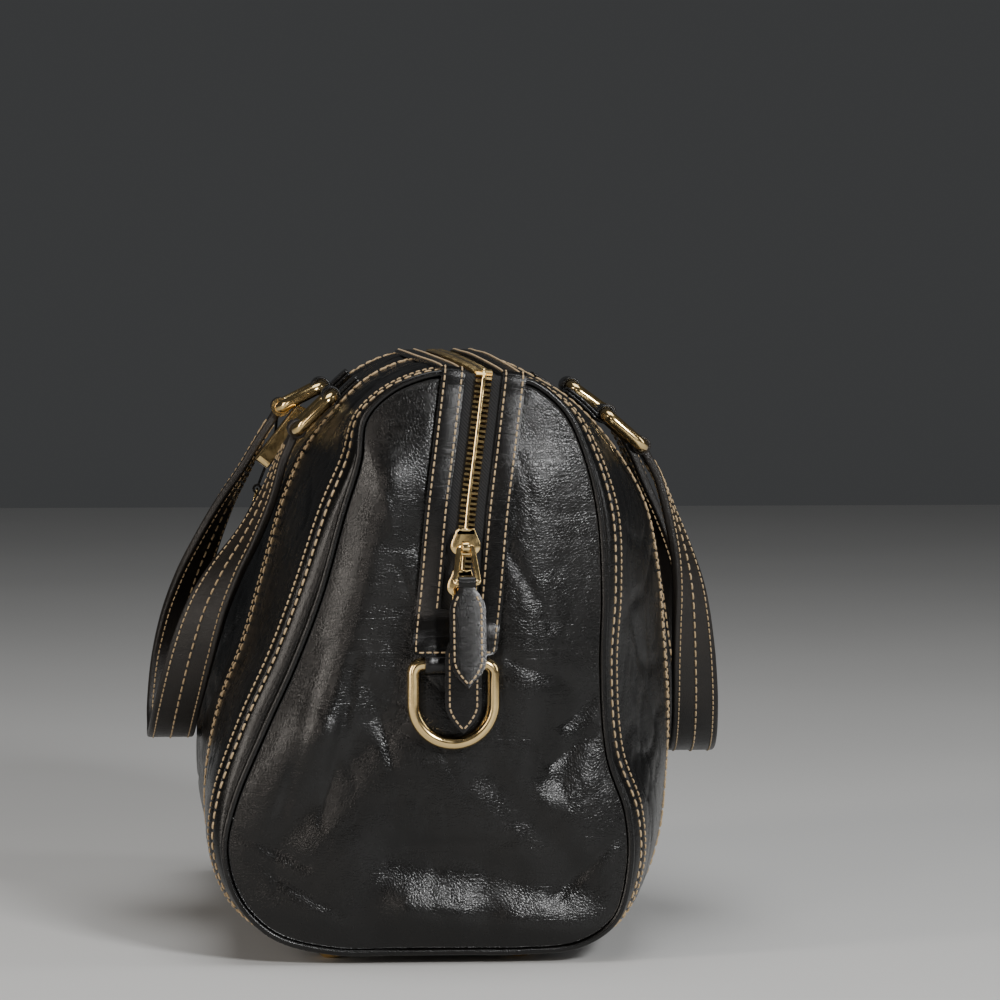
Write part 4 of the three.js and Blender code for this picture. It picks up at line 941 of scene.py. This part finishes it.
# %% Rings and rolls
def rounded_path(corners, radius, steps=6):
    """A closed path through corners, each rounded by radius."""
    corners = np.asarray(corners, float)
    path = []
    for i, corner in enumerate(corners):
        to_last = unit(corners[i - 1] - corner)
        to_next = unit(corners[(i + 1) % len(corners)] - corner)
        start, stop = corner + to_last * radius, corner + to_next * radius
        path += [(1 - t) ** 2 * start + 2 * t * (1 - t) * corner + t**2 * stop
                 for t in np.linspace(0, 1, steps + 1)]
    return np.array(path)


def wire_ring(path, keep, radius, sides=20):
    directions = along_path(path, keep, closed=True)
    return facing_out(*tube(path, *directions, round_section(radius, sides), closed=True))


def roll(middle, axis, inner, outer, width, sides=36):
    """A short tube round an axis."""
    axis = np.asarray(axis, float)
    turn = full_turn(sides)
    one = unit(np.cross(axis, [0.3, 0.5, 0.8]))
    two = np.cross(axis, one)
    circle = np.cos(turn)[:, None] * one + np.sin(turn)[:, None] * two
    half = axis * width / 2
    edge = min(0.35, (outer - inner) / 3)
    profile = [(inner, -1, 0), (outer - edge, -1, 0), (outer, -1, edge)]
    profile += [(radius, 1, -shift) for radius, _, shift in reversed(profile)]
    rings = [middle + circle * r + half * s + axis * shift for r, s, shift in profile]
    points = np.stack(rings, axis=1).reshape(-1, 3)
    return facing_out(points, grid_faces(sides, len(profile), closed_rows=True, closed_columns=True))


RING_LEGS = 17.4

ring_half = ring_half_width - ring_wire
ring_corner = 1.5 * ring_wire
right_corner = quarter_arc(ring_corner, 9)[:, ::-1] + [ring_half - ring_corner, -ring_corner]
bow = np.radians(np.linspace(0, 180, 41))
ring_bow = np.stack([ring_half * np.cos(bow), -RING_LEGS - ring_half * np.sin(bow)], axis=1)
ring_outline = np.concatenate([right_corner, ring_bow, right_corner[::-1] * [-1, 1]])
end_ring_path = np.column_stack([np.full(len(ring_outline), bar_x), ring_outline + [bar_y, bar_z]])
end_ring = wire_ring(end_ring_path, (1, 0, 0), ring_wire)
piece("end_ring_near", *end_ring, brass, body="near_ring", slot="brass", nodes=["ring_near"])
piece("end_ring_far", *mirrored(*end_ring), brass, body="far_ring", slot="brass", nodes=["ring_far"])

# %% [markdown]
# ## Sliders
# The slider is a cast plate with an arch over it, in which its pull frame hangs. The plate is a flat
# outline given some thickness with its edges cut back, and the arch is a strap bent over a half circle.

# %% Sliders
SLIDER_LENGTH = 11.5
SLIDER_PLATE = 1.8
BRIDGE_HOLE = 1.5
BRIDGE_WALL = 1.1
BRIDGE_WIDTH = 3.2
BRIDGE_SUNK = 0.4
PIVOT_DROP = 2.5


def slab(outline, low, high, edge, crown):
    """A plate in the YZ plane from x low to x high, with its outer edges cut back."""
    run = unit(np.roll(outline, -1, axis=0) - np.roll(outline, 1, axis=0))
    inward = np.stack([-run[:, 1], run[:, 0]], axis=1)
    inward *= np.sign(np.sum(inward * (outline.mean(axis=0) - outline)))
    rings = []
    for x, inset in ((low, edge), (low + edge, 0), (high - edge, 0), (high - edge * 0.3, edge * 0.35),
                     (high, edge), (high + crown, edge * 5)):
        flat = outline + inward * inset
        rings.append(np.column_stack([np.full(len(flat), x), flat]))
    return facing_out(*lofted(rings))


def slider(node):
    low, high = in_pattern(node)
    y, z = (low[1] + high[1]) / 2, (low[2] + high[2]) / 2
    half_width, length = (high[1] - low[1]) / 2, SLIDER_LENGTH / 2
    pivot = np.array([high[0] - BRIDGE_HOLE - BRIDGE_WALL, y, z - PIVOT_DROP])
    right = [(4.2, -length), (half_width, -3.4), (half_width, -0.5), (4.9, length * 0.55), (4.0, length)]
    left = [(-across, up) for across, up in reversed(right)]
    outline = fair(left + right, np.linspace(0, 1, 60)) + [y, z]
    plate = slab(outline, low[0], low[0] + SLIDER_PLATE, 0.5, 0.15)
    turn = np.radians(np.linspace(-90, 90, 19))
    reach = BRIDGE_HOLE + BRIDGE_WALL / 2
    arch = pivot + reach * np.stack([np.cos(turn), 0 * turn, np.sin(turn)], axis=1)
    sunk = [low[0] + SLIDER_PLATE - BRIDGE_SUNK, y]
    arch = np.array([[*sunk, arch[0, 2]], *arch, [*sunk, arch[-1, 2]]])
    shape = strap_section(BRIDGE_WIDTH, BRIDGE_WALL, 0.4)
    bridge = facing_out(*tube(arch, *along_path(arch, (0, 1, 0)), shape))
    return merged([plate, bridge]), pivot


upper_slider, upper_pivot = slider("slider_1")
lower_slider, lower_pivot = slider("slider_2")
piece("slider_upper", *upper_slider, brass, slot="brass", nodes=["slider_1"])
piece("slider_lower", *lower_slider, brass, slot="brass", nodes=["slider_2"])
print("The upper slider's pivot is at", upper_pivot.round(2))

# %% [markdown]
# ## Pull frames and tabs
# The pull frame is a bent brass loop, wider at its foot, and a pointed leather tab is sewn round the
# foot. The upper pull leans on the lower one, so each leans as far as its CAD node does. The upper
# frame, its tab and its stitches ride on the body that swings.

# %% Pull frames and tabs
PULL_LENGTH = 19
PULL_TOP = 7.5
PULL_FOOT = 12
PULL_BAR = 1.8
PULL_LEG = 2.5
PULL_CORNER = 1.2
TAB_LENGTH = 47
TAB_THICK = 3
TAB_NECK = 3.8
TAB_HALF = 8.0
TAB_SHOULDER = (3.5, 9.5)
TAB_POINT = 12.5
TAB_SEW = 2.0
TAB_ROLL_INNER = 1.573
TAB_ROLL_OUTER = 2.873
TAB_START = TAB_ROLL_INNER + 0.3


def leaned(points, pivot, lean):
    """Points turned about a line along Y through pivot, so that what hangs swings out."""
    c, s = math.cos(lean), math.sin(lean)
    off = points - pivot
    out, down = off[:, 0] * c - off[:, 2] * s, off[:, 0] * s + off[:, 2] * c
    return pivot + np.stack([out, off[:, 1], down], axis=1)


def pull(node, pivot):
    """Pull frame and the place of its foot bar."""
    low = in_pattern(node)[0]
    reach = PULL_LENGTH - PULL_BAR
    foot_drop = pivot[2] - low[2] - PULL_BAR / 2
    lean = math.acos(min(foot_drop / reach, 1))
    top, foot = (PULL_TOP - PULL_BAR) / 2, (PULL_FOOT - PULL_BAR) / 2
    flat = [(0, -top, 0), (0, -foot, -reach), (0, foot, -reach), (0, top, 0)]
    path = leaned(rounded_path(flat, PULL_CORNER) + pivot, pivot, lean)
    shape = strap_section(PULL_BAR, PULL_LEG, 0.55)
    frame_bar = facing_out(*tube(path, *along_path(path, (1, 0, 0), closed=True), shape, closed=True))
    foot_place = pivot + np.array([reach * math.sin(lean), 0, -reach * math.cos(lean)])
    return frame_bar, foot_place


def tab_half_width(down):
    """Half the tab's width so far down from the frame's foot: a neck, a shoulder and a point."""
    down = np.asarray(down, float)
    shoulder = np.clip((down - TAB_SHOULDER[0]) / TAB_SHOULDER[1], 0, 1)
    point = np.clip((down - (TAB_LENGTH - TAB_POINT)) / TAB_POINT, 0, 1)
    full = TAB_NECK + (TAB_HALF - TAB_NECK) * np.sin(shoulder * np.pi / 2) ** 0.8
    return full * np.maximum(1 - point**1.7, 0.02)


def pull_tab(foot, lean):
    """The sewn tab, the line of its stitches on the outer face and the way that face looks."""
    down = np.linspace(TAB_START, TAB_LENGTH, 60)
    wide = np.linspace(-1, 1, 15)
    y = tab_half_width(down)[:, None] * wide
    pad = 0.35 * (1 - np.abs(wide) ** 3)
    grid = np.stack(np.broadcast_arrays(TAB_THICK / 2 + pad - 0.2, y, -down[:, None]), axis=-1)
    back_grid = grid * [0, 1, 1] - [TAB_THICK / 2, 0, 0]
    body_part = facing_out(*wall(back_grid, grid))
    turn_in = roll(np.zeros(3), (0, 1, 0), TAB_ROLL_INNER, TAB_ROLL_OUTER, 2 * TAB_NECK)
    points, faces = merged([body_part, turn_in])
    line = np.linspace(6, TAB_LENGTH - 2.4, 60)
    edge = np.maximum(tab_half_width(line) - TAB_SEW, 0)
    left = np.stack([np.full(60, TAB_THICK / 2 + 0.1), -edge, -line], axis=1)
    right = left[::-1] * [1, -1, 1]
    loop = np.concatenate([left, right])
    hinge = np.zeros(3)
    outer_face = unit(leaned(np.array([[1.0, 0, 0]]), hinge, lean))[0]
    return (leaned(points, hinge, lean) + foot, faces), leaned(loop, hinge, lean) + foot, outer_face


upper_frame, upper_foot = pull("puller_1", upper_pivot)
lower_frame, lower_foot = pull("puller_2", lower_pivot)
piece("pull_frame_upper", *upper_frame, brass, body="pull", slot="brass", nodes=["puller_1"])
piece("pull_frame_lower", *lower_frame, brass, slot="brass", nodes=["puller_2"])
tab_drop = upper_foot[2] - in_pattern("pull_tab_1")[0][2]
tab_lean = math.acos(min((tab_drop - 0.2) / math.hypot(TAB_LENGTH, TAB_THICK / 2), 1))
upper_tab, upper_loop, upper_out = pull_tab(upper_foot, tab_lean)
lower_tab, lower_loop, lower_out = pull_tab(lower_foot, 0.0)
for name, tab, body, node in (("tab_upper", upper_tab, "pull", "pull_tab_1"),
                              ("tab_lower", lower_tab, "bag", "pull_tab_2")):
    soft_edges(piece(name, *tab, smooth_leather, body=body, slot="smooth_leather", nodes=[node]), 0.35)
print("The upper tab leans", round(math.degrees(tab_lean), 1), "degrees")

# %% [markdown]
# ## Feet
# Four brass studs keep the leather off the table. Each is a small dome turned on a lathe: a profile
# carried round in a circle.

# %% Feet
FOOT_PROFILE = [  # radius, height
    (2.5, 0.0), (3.6, 0.25), (4.6, 0.75), (5.4, 1.6), (5.9, 2.6), (6.2, 3.7), (6.25, 4.6), (6.1, 5.2),
]


def foot(node):
    low, high = in_pattern(node)
    turn = full_turn(40)
    circle = np.stack([np.cos(turn), np.sin(turn), 0 * turn], axis=1)
    middle = (low + high) * [0.5, 0.5, 0]
    return facing_out(*lofted([middle + circle * radius + [0, 0, z] for radius, z in FOOT_PROFILE]))


for end_word in ("near", "far"):
    for side_word in ("front", "back"):
        node = f"foot_{end_word}_{side_word}"
        piece(f"stud_{end_word}_{side_word}", *foot(node), brass, slot="brass", nodes=[node])

# %% [markdown]
# ## Handle rings and their loops
# Each handle end holds an oval ring, and the ring hangs in a doubled strip of leather that is sewn to
# the bag's shoulder. The strip is one flat section that goes up from the body, round the ring's bar
# and back down on itself.

# %% Handle rings and their loops
HANDLE_SPAN = 122
STRAP = 22
STRAP_THICK = 4
RING_WIRE = 2.65
RING_REACH = 22
RING_HALF = 18.65
RING_CORNER = 4.5
PLY = 1.5
LOOP_TAIL = 0.7
LOOP_INNER = RING_WIRE + GAP
SLACK = 0.05
LOOP_OUTER = LOOP_INNER + PLY
HALVINGS = 22
RING_ROWS = {  # side, end, station, stand, droop in degrees
    "near_front": (-1, 1, 2.88, 4.9, 44),
    "far_front": (-1, -1, 2.85, 6.5, 27),
    "near_back": (1, 1, 25.5, 6.0, 41),
    "far_back": (1, -1, 25.85, 9.0, 36),
}


def section_at(x, s):
    """The section number where the skin's station s lies at x."""
    low, high = AT_BAND, LAST_SECTION - AT_BAND
    for _ in range(HALVINGS):
        middle = (low + high) / 2
        if skin([middle], [s])[0, 0, 0] > x:
            low = middle
        else:
            high = middle
    return (low + high) / 2


def on_skin(x, s):
    """A place on the skin at x, and the outward direction there."""
    v, step = section_at(x, s), 0.02
    grid = skin([v - step, v, v + step], [s - step, s, s + step])
    out = unit(np.cross(grid[2, 1] - grid[0, 1], grid[1, 2] - grid[1, 0]))
    return np.array([x, *grid[1, 1, 1:]]), out


def handle_ring(side, end, station, stand, droop):
    """The oval ring, the middle of its upper bar and that of its lower bar."""
    seat, out = on_skin(end * HANDLE_SPAN / 2, station)
    upper = seat + out * stand
    upper[0] = end * HANDLE_SPAN / 2
    slope = np.array([0, side * math.cos(math.radians(droop)), -math.sin(math.radians(droop))])
    corner = quarter_arc(RING_CORNER, 8)
    along, down = RING_HALF - RING_CORNER, RING_REACH - RING_CORNER
    oval = np.concatenate([
        corner + [along, down], corner[::-1] * [-1, 1] + [-along, down],
        corner * [-1, -1] + [-along, RING_CORNER], corner[::-1] * [1, -1] + [along, RING_CORNER]])
    path = upper + oval[:, :1] * np.array([1.0, 0, 0]) + oval[:, 1:] * slope
    ring = wire_ring(path, np.cross([1.0, 0, 0], slope), LOOP_INNER - SLACK)
    return ring, upper, upper + slope * RING_REACH


def ring_loop(side, station, upper):
    """Doubled strip from the shoulder, round the ring's bar and back."""
    x = upper[0]
    tail = [on_skin(x, station + side * t * LOOP_TAIL) for t in (1, 0.8, 0.6, 0.4, 0.2, 0.05)]
    foot_place, foot_out = tail[-1]
    neck = unit(upper - (foot_place + foot_out * (ZIP_SEAT + PLY)))
    across = np.cross([1.0, 0, 0], neck)
    mid = LOOP_INNER + PLY / 2
    sign = 1 if across @ foot_out > 0 else -1
    swing = np.radians(np.linspace(-160, 160, 33))
    bend = [upper + mid * (np.cos(a) * neck + np.sin(a) * across * sign) for a in swing]
    under = [place + out * (ZIP_SEAT + PLY / 2) for place, out in tail]
    over = [place + out * (ZIP_SEAT + PLY * 1.55) for place, out in tail]
    path = fair(np.array([*under, *bend, *over[::-1]]), np.linspace(0, 1, 120))
    return facing_out(*tube(path, *along_path(path, (1, 0, 0)), strap_section(STRAP, PLY, 0.45)))


lower_bars = {}
for name, (side, end, station, stand, droop) in RING_ROWS.items():
    ring, upper, lower = handle_ring(side, end, station, stand, droop)
    lower_bars[name] = lower
    piece(f"oval_ring_{name}", *ring, brass, slot="brass", nodes=[f"handle_ring_{name}"])
    piece(f"loop_strip_{name}", *ring_loop(side, station, upper), smooth_leather, slot="smooth_leather",
          nodes=[f"ring_loop_{name}"])
print("Handle rings hang from", {k: v.round(1).tolist() for k, v in lower_bars.items()})

# %% [markdown]
# ## Handles
# A handle is two plies of leather sewn together, stiff enough to hold its curve. It leaves each ring
# facing outward and turns a quarter way round as it drops, so that at the bottom its face looks down
# the bag. A table gives the way from the ring to the bottom, and a flat section follows it.

# %% Handles
HANDLE_DROP = 146
STRAP_REST = 2
HANDLE_WAY = {  # along, out, down, turn in degrees
    "near_front": [(0, .12, .10, 4), (0, .23, .22, 14), (.01, .39, .345, 27), (.035, .56, .455, 42),
                   (.08, .70, .565, 56), (.15, .81, .69, 70), (.28, .90, .82, 80), (.51, .965, .93, 87),
                   (.74, .99, .982, 89)],
    "far_front": [(0, .16, .09, 3), (0, .31, .19, 10), (.01, .49, .30, 20), (.025, .64, .41, 31),
                  (.06, .78, .53, 44), (.13, .89, .66, 58), (.26, .965, .80, 73), (.50, 1.0, .93, 85),
                  (.74, 1.0, .982, 89)],
    "back": [(0, .28, .10, 4), (0, .48, .22, 13), (.01, .66, .345, 27), (.035, .77, .455, 42),
             (.08, .83, .565, 56), (.15, .88, .69, 70), (.28, .93, .82, 80), (.51, .97, .93, 87),
             (.74, .99, .982, 89)],
}


def handle_path(side, steps=200):
    """Places along the handle with the directions across and through the strap."""
    word = "front" if side < 0 else "back"
    near, far = lower_bars[f"near_{word}"], lower_bars[f"far_{word}"]
    names = ("near_front", "far_front") if side < 0 else ("back", "back")
    ways = [np.array(HANDLE_WAY[name]) for name in names]
    girth = sections[AT_MID][:, 1].min() if side < 0 else sections[AT_MID][:, 1].max()
    bottom = np.array([0, girth + side * (STRAP_REST + STRAP / 2), near[2] - HANDLE_DROP])
    points, turns = [], []
    for ring, way in zip((near, far), ways):
        stretch = ring + (bottom - ring) * way[:, :3]
        first = ring + unit(stretch[0] - ring) * (LOOP_INNER + PLY / 3)
        points.append(np.vstack([first, stretch]))
        turns.append(np.radians(np.concatenate([[0], way[:, 3]])))
    route = np.vstack([points[0], bottom, points[1][::-1]])
    turn = np.concatenate([turns[0], [np.pi / 2], np.pi - turns[1][::-1]])
    share = np.linspace(0, 1, steps)
    places = fair(route, share)
    angle = np.interp(share * (len(turn) - 1), np.arange(len(turn)), turn)
    keep = np.stack([np.cos(angle), -side * np.sin(angle), 0 * angle], axis=1)
    across, up = along_path(places, keep)
    return places, across, up, near, far


handles = {}
for side, word in ((-1, "front"), (1, "back")):
    places, across, up, near, far = handle_path(side)
    strap = facing_out(*tube(places, across, up, strap_section(STRAP, STRAP_THICK, 1.3)))
    rolls = [roll(ring, (1, 0, 0), LOOP_INNER, LOOP_OUTER, STRAP) for ring in (near, far)]
    piece(f"strap_{word}", *merged([strap, *rolls]), strap_leather, slot="smooth_leather",
          nodes=[f"handle_{word}"])
    handles[word] = (places, across, up)
    handle_length = np.linalg.norm(np.diff(places, axis=0), axis=1).sum()
    print("The", word, "handle is", round(float(handle_length)), "mm long")

# %% [markdown]
# ## Padlock, key strap and key ring
# The small brass padlock has brushed faces and polished edges, so its two big faces get the satin
# finish and the rest the polished one. The shackle and the key's strap are already the right shape in
# the frame, and only need their finish.

# %% Padlock, key strap and key ring
LOCK_LENGTH = 32
LOCK_WIDTH = 24
LOCK_THICK = 7.3
LOCK_LEAN = 52
LOCK_CORNER = 3
LOCK_BEVEL = 0.7
LOCK_EDGE = 0.6
KEY_RING_HALF = 5.3
KEY_RING_WIRE = 0.6
KEY_RING_LEAN = 15

lock_low, lock_high = in_pattern("lock_body")
lean = math.radians(LOCK_LEAN)
lock_down = np.array([0, -math.cos(lean), -math.sin(lean)])
lock_out = np.cross([1.0, 0, 0], lock_down)
lock_top = (lock_low + lock_high) / 2 - lock_down * LOCK_LENGTH / 2
lock_half = LOCK_WIDTH / 2
low_right = quarter_arc(LOCK_CORNER, 6) + [lock_half - LOCK_CORNER, LOCK_LENGTH - LOCK_CORNER]
lock_head = [[-lock_half, 0.0], [lock_half, 0.0]]
lock_outline = np.concatenate([low_right, low_right[::-1] * [-1, 1], lock_head])
layers = []
for depth, inset in ((-1, LOCK_BEVEL), (-1, 0.0), (1, 0.0), (1, LOCK_BEVEL)):
    flat = lock_outline + unit(lock_outline.mean(axis=0) - lock_outline) * inset
    thick = depth * (LOCK_THICK / 2 - (LOCK_EDGE if inset == 0 else 0))
    level = lock_top + flat[:, :1] * [1.0, 0, 0] + flat[:, 1:] * lock_down
    layers.append(level + thick * lock_out)
lock_mesh = facing_out(*lofted(layers))
lock = piece("padlock", *lock_mesh, brass, slot="brass", nodes=["lock_body"], is_smooth=False)
lock.data.materials.append(satin_brass)
for polygon in list(lock.data.polygons)[-2:]:
    polygon.material_index = 1

key_low, key_high = in_pattern("key_ring")
hang = math.radians(KEY_RING_LEAN)
key_down = np.array([0, -math.sin(hang), -math.cos(hang)])
turn = full_turn(48)[:, None]
key_circle = np.sin(turn) * [1.0, 0, 0] - np.cos(turn) * key_down
key_path = (key_low + key_high) / 2 + KEY_RING_HALF * key_circle
key_wire = wire_ring(key_path, np.cross([1.0, 0, 0], key_down), KEY_RING_WIRE, 12)
piece("key_wire", *key_wire, brass, slot="brass", nodes=["key_ring"])
for node, finish in (("lock_shackle", brass), ("key_strap", smooth_leather)):
    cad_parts[node].data.materials.clear()
    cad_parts[node].data.materials.append(finish)

# %% [markdown]
# ## Stitches
# The cream thread draws the bag. Each stitch is a short round bar that dives into the leather at both
# ends. One helper lays stitches along any line at an even pitch. The seams have a row of long thick
# stitches and a finer row beside it, and straps and zip strips have fine rows near their edges.

# %% Stitches
STITCH_RINGS = [  # along, width, height, as shares of the stitch's length and radius
    (-0.5, 0.45, -0.55), (-0.44, 0.9, 0.2), (-0.2, 1.0, 0.5), (0.2, 1.0, 0.5), (0.44, 0.9, 0.2),
    (0.5, 0.45, -0.55),
]
STITCH_FILL = 0.74
THREAD_SIDES = 6


def stitch_row(path, outs, pitch, radius):
    """Stitches along a path, each a bar of thread that dives at its ends."""
    path = np.asarray(path, float)
    outs = np.broadcast_to(np.asarray(outs, float), path.shape)
    at = even_steps(path, pitch)
    places, out = read_at(path, at), unit(read_at(outs, at))
    ahead = read_at(path, np.minimum(at + 0.5, len(path) - 1.001))
    run = unit(ahead - read_at(path, np.maximum(at - 0.5, 0)))
    across = np.cross(run, out)
    turn = full_turn(THREAD_SIDES)[None, :, None]
    circle = across[:, None] * np.cos(turn) + out[:, None] * np.sin(turn)
    rings = []
    for along, wide, lift in STITCH_RINGS:
        middle = places + run * along * pitch * STITCH_FILL + out * lift * radius
        rings.append(middle[:, None] + circle * wide * radius)
    points = np.stack(rings, axis=1).reshape(-1, 3)
    each = len(STITCH_RINGS) * THREAD_SIDES
    last = each - THREAD_SIDES
    one = [tuple(reversed(f)) for f in grid_faces(len(STITCH_RINGS), THREAD_SIDES, closed_columns=True)]
    one += [tuple(range(THREAD_SIDES)), tuple(last + i for i in reversed(range(THREAD_SIDES)))]
    return points, [tuple(i + each * k for i in f) for k in range(len(places)) for f in one]


def sewn(name, parts, body="bag"):
    made = piece(name, *merged(parts), thread, body=body)
    print(name, "has", len(made.data.vertices) // (THREAD_SIDES * len(STITCH_RINGS)), "stitches")
    return made


def seam_line(v, lift):
    steps = np.linspace(0.6, LAST_STATION - 0.6, 700)
    grid = skin([v - 0.01, v, v + 0.01], steps)
    out = outward(grid)[1]
    return grid[1] + out * lift, out


THICK = (4.6, 0.52)  # pitch and radius of each thread
FINE = (3.0, 0.38)
ZIP_FINE = (3.2, 0.39)
TAB_FINE = (2.7, 0.4)
EDGE_SEW = 1.5
TONGUE_SEW = 4.4
STRAP_SEW = 8.2
SEAM_ROWS = [  # section number, lift off the skin, thread
    (AT_BAND - 1.7 / BAND, -0.25, THICK),
    (AT_BAND + 7.5 / SIDE_RUN, 0.0, FINE),
    (AT_SEAM - 2.6 / SIDE_RUN, -0.05, THICK),
    (AT_SEAM + 2.8 / CENTRE_RUN, -0.03, FINE),
]
seam_rows = [stitch_row(*seam_line(v, lift), *kind) for v, lift, kind in SEAM_ROWS]
sewn("seam_thread_near", seam_rows)
sewn("seam_thread_far", [mirrored(*row) for row in seam_rows])

rows, outs, index = zip_rows(first_slot - TONGUE_SEW, LAST_ROW - first_slot + TONGUE_SEW, 1.5)
beside_slot = (index > first_slot - 0.2) & (index < LAST_ROW - first_slot + 0.2)
strip_rows = []
for place, within in ((STRIP_HALF - EDGE_SEW, index > 0), (SLOT_HALF + EDGE_SEW, beside_slot)):
    for side in (-1, 1):
        column = np.interp(side * place, offsets_for(STRIP_HALF), columns)
        line = np.array([[np.interp(column, columns, axis) for axis in row.T] for row in rows])
        line += outs * (STRIP_THICK + 0.18)
        strip_rows.append(stitch_row(line[within], outs[within], *ZIP_FINE))
for tongue in (first_slot - TONGUE_SEW, LAST_ROW - first_slot + TONGUE_SEW):
    share = np.array([tongue / LAST_ROW])
    across_row, out = fair(row_points, share)[0], unit(fair(row_outs, share))[0]
    strip_rows.append(stitch_row(across_row[1:-1] + out * (STRIP_THICK + 0.15), out, *ZIP_FINE))
sewn("zip_thread", strip_rows)

strap_rows = []
trim = slice(4, -4)
for places, across, up in handles.values():
    for face in (-1, 1):
        for offset, (pitch, radius) in ((-STRAP_SEW, FINE), (0.0, THICK), (STRAP_SEW, FINE)):
            line = places + across * offset + up * face * (STRAP_THICK / 2)
            strap_rows.append(stitch_row(line[trim], up[trim] * face, pitch, radius * 0.9))
sewn("strap_thread", strap_rows)
sewn("tab_thread_upper", [stitch_row(upper_loop, upper_out, *TAB_FINE)], body="pull")
sewn("tab_thread_lower", [stitch_row(lower_loop, lower_out, *TAB_FINE)])

# %% [markdown]
# ## Floor
# The bag stands on a plain pale floor, which shows its shadow and the shape of its underside.

# %% Floor
FLOOR_COLOUR = (0.62, 0.62, 0.61)
FLOOR_HALF = 4.0


def floor_finish():
    made = Finish("pale floor")
    speck = made.texture(Scale=3.0, Detail=4.0)
    shade = [c * 0.97 for c in FLOOR_COLOUR]
    return made.done({
        "Base Color": made.ramp(speck, [(0.3, shade), (0.7, FLOOR_COLOUR)]),
        "Roughness": 0.55,
    })


floor_mesh = bpy.data.meshes.new("floor")
corners = [(x * FLOOR_HALF, y * FLOOR_HALF, 0) for x, y in ((-1, -1), (1, -1), (1, 1), (-1, 1))]
floor_mesh.from_pydata(corners, [], [(0, 1, 2, 3)])
floor_mesh.materials.append(floor_finish())
floor = bpy.data.objects.new("floor", floor_mesh)
bpy.context.scene.collection.objects.link(floor)

# %% [markdown]
# ## Light
# Black leather shows only what it reflects, so the light comes from soft panels: one overhead, a small
# key panel beyond the bag's back edge, a low warm one before its front edge and one at each side. The
# end faces the dark part of the room, and only its folds and its rounded rim catch a panel.

# %% Light
def soft_light(name, place, aim, size, power, colour=(1, 1, 1)):
    lamp = bpy.data.lights.new(name, "AREA")
    lamp.shape = "RECTANGLE"
    lamp.size, lamp.size_y = size
    lamp.energy = power
    lamp.color = colour
    made = bpy.data.objects.new(name, lamp)
    made.location = place
    made.rotation_mode = "QUATERNION"
    made.rotation_quaternion = (Vector(aim) - Vector(place)).to_track_quat("-Z", "Y")
    bpy.context.scene.collection.objects.link(made)
    return made


BAG_MIDDLE = (0.0, 0.0, 0.13)
soft_light("overhead panel", (0.2, 0.0, 2.4), BAG_MIDDLE, (1.6, 1.6), 30)
soft_light("key panel", (1.75, 0.75, 1.0), BAG_MIDDLE, (0.34, 0.34), 32)
soft_light("low warm panel", (1.72, -0.83, 0.5), BAG_MIDDLE, (0.25, 0.8), 4.5, (1.0, 0.9, 0.82))
soft_light("front side panel", (0.9, -1.5, 0.6), BAG_MIDDLE, (0.35, 1.1), 13, (1.0, 0.92, 0.84))
soft_light("back side panel", (0.3, 1.6, 0.8), BAG_MIDDLE, (0.3, 1.0), 6)

world = bpy.data.worlds.new("studio")
world.use_nodes = True
backdrop = world.node_tree.nodes["Background"]
backdrop.inputs["Color"].default_value = (0.78, 0.8, 0.82, 1)
backdrop.inputs["Strength"].default_value = 0.06
bpy.context.scene.world = world

# %% [markdown]
# ## Camera
# The camera stands where the photographer did, low and far from the end of the bag, with a long lens
# that keeps the bag's lines nearly parallel.

# %% Camera
AZIMUTH, PITCH = math.radians(86), math.radians(2.7)
CAMERA_PLACE = (2369.6, -121.8, 309)
camera_data = bpy.data.cameras.new("camera")
camera_data.lens = 180
camera_data.sensor_width = 36
camera_data.clip_end = 50
camera = bpy.data.objects.new("camera", camera_data)
camera.location = in_frame(CAMERA_PLACE)
level = Vector((math.sin(AZIMUTH), -math.cos(AZIMUTH), 0)) * math.cos(PITCH)
back = level + Vector((0, 0, math.sin(PITCH)))
camera.rotation_mode = "QUATERNION"
camera.rotation_quaternion = (-back).to_track_quat("-Z", "Y")
bpy.context.scene.collection.objects.link(camera)
bpy.context.scene.camera = camera

# %% [markdown]
# ## The last step
# The scene is brought up to date, so that every piece stands where it was put. The dressed bag may
# stand only a little proud of its frame.

# %% Finish
bpy.context.view_layer.update()
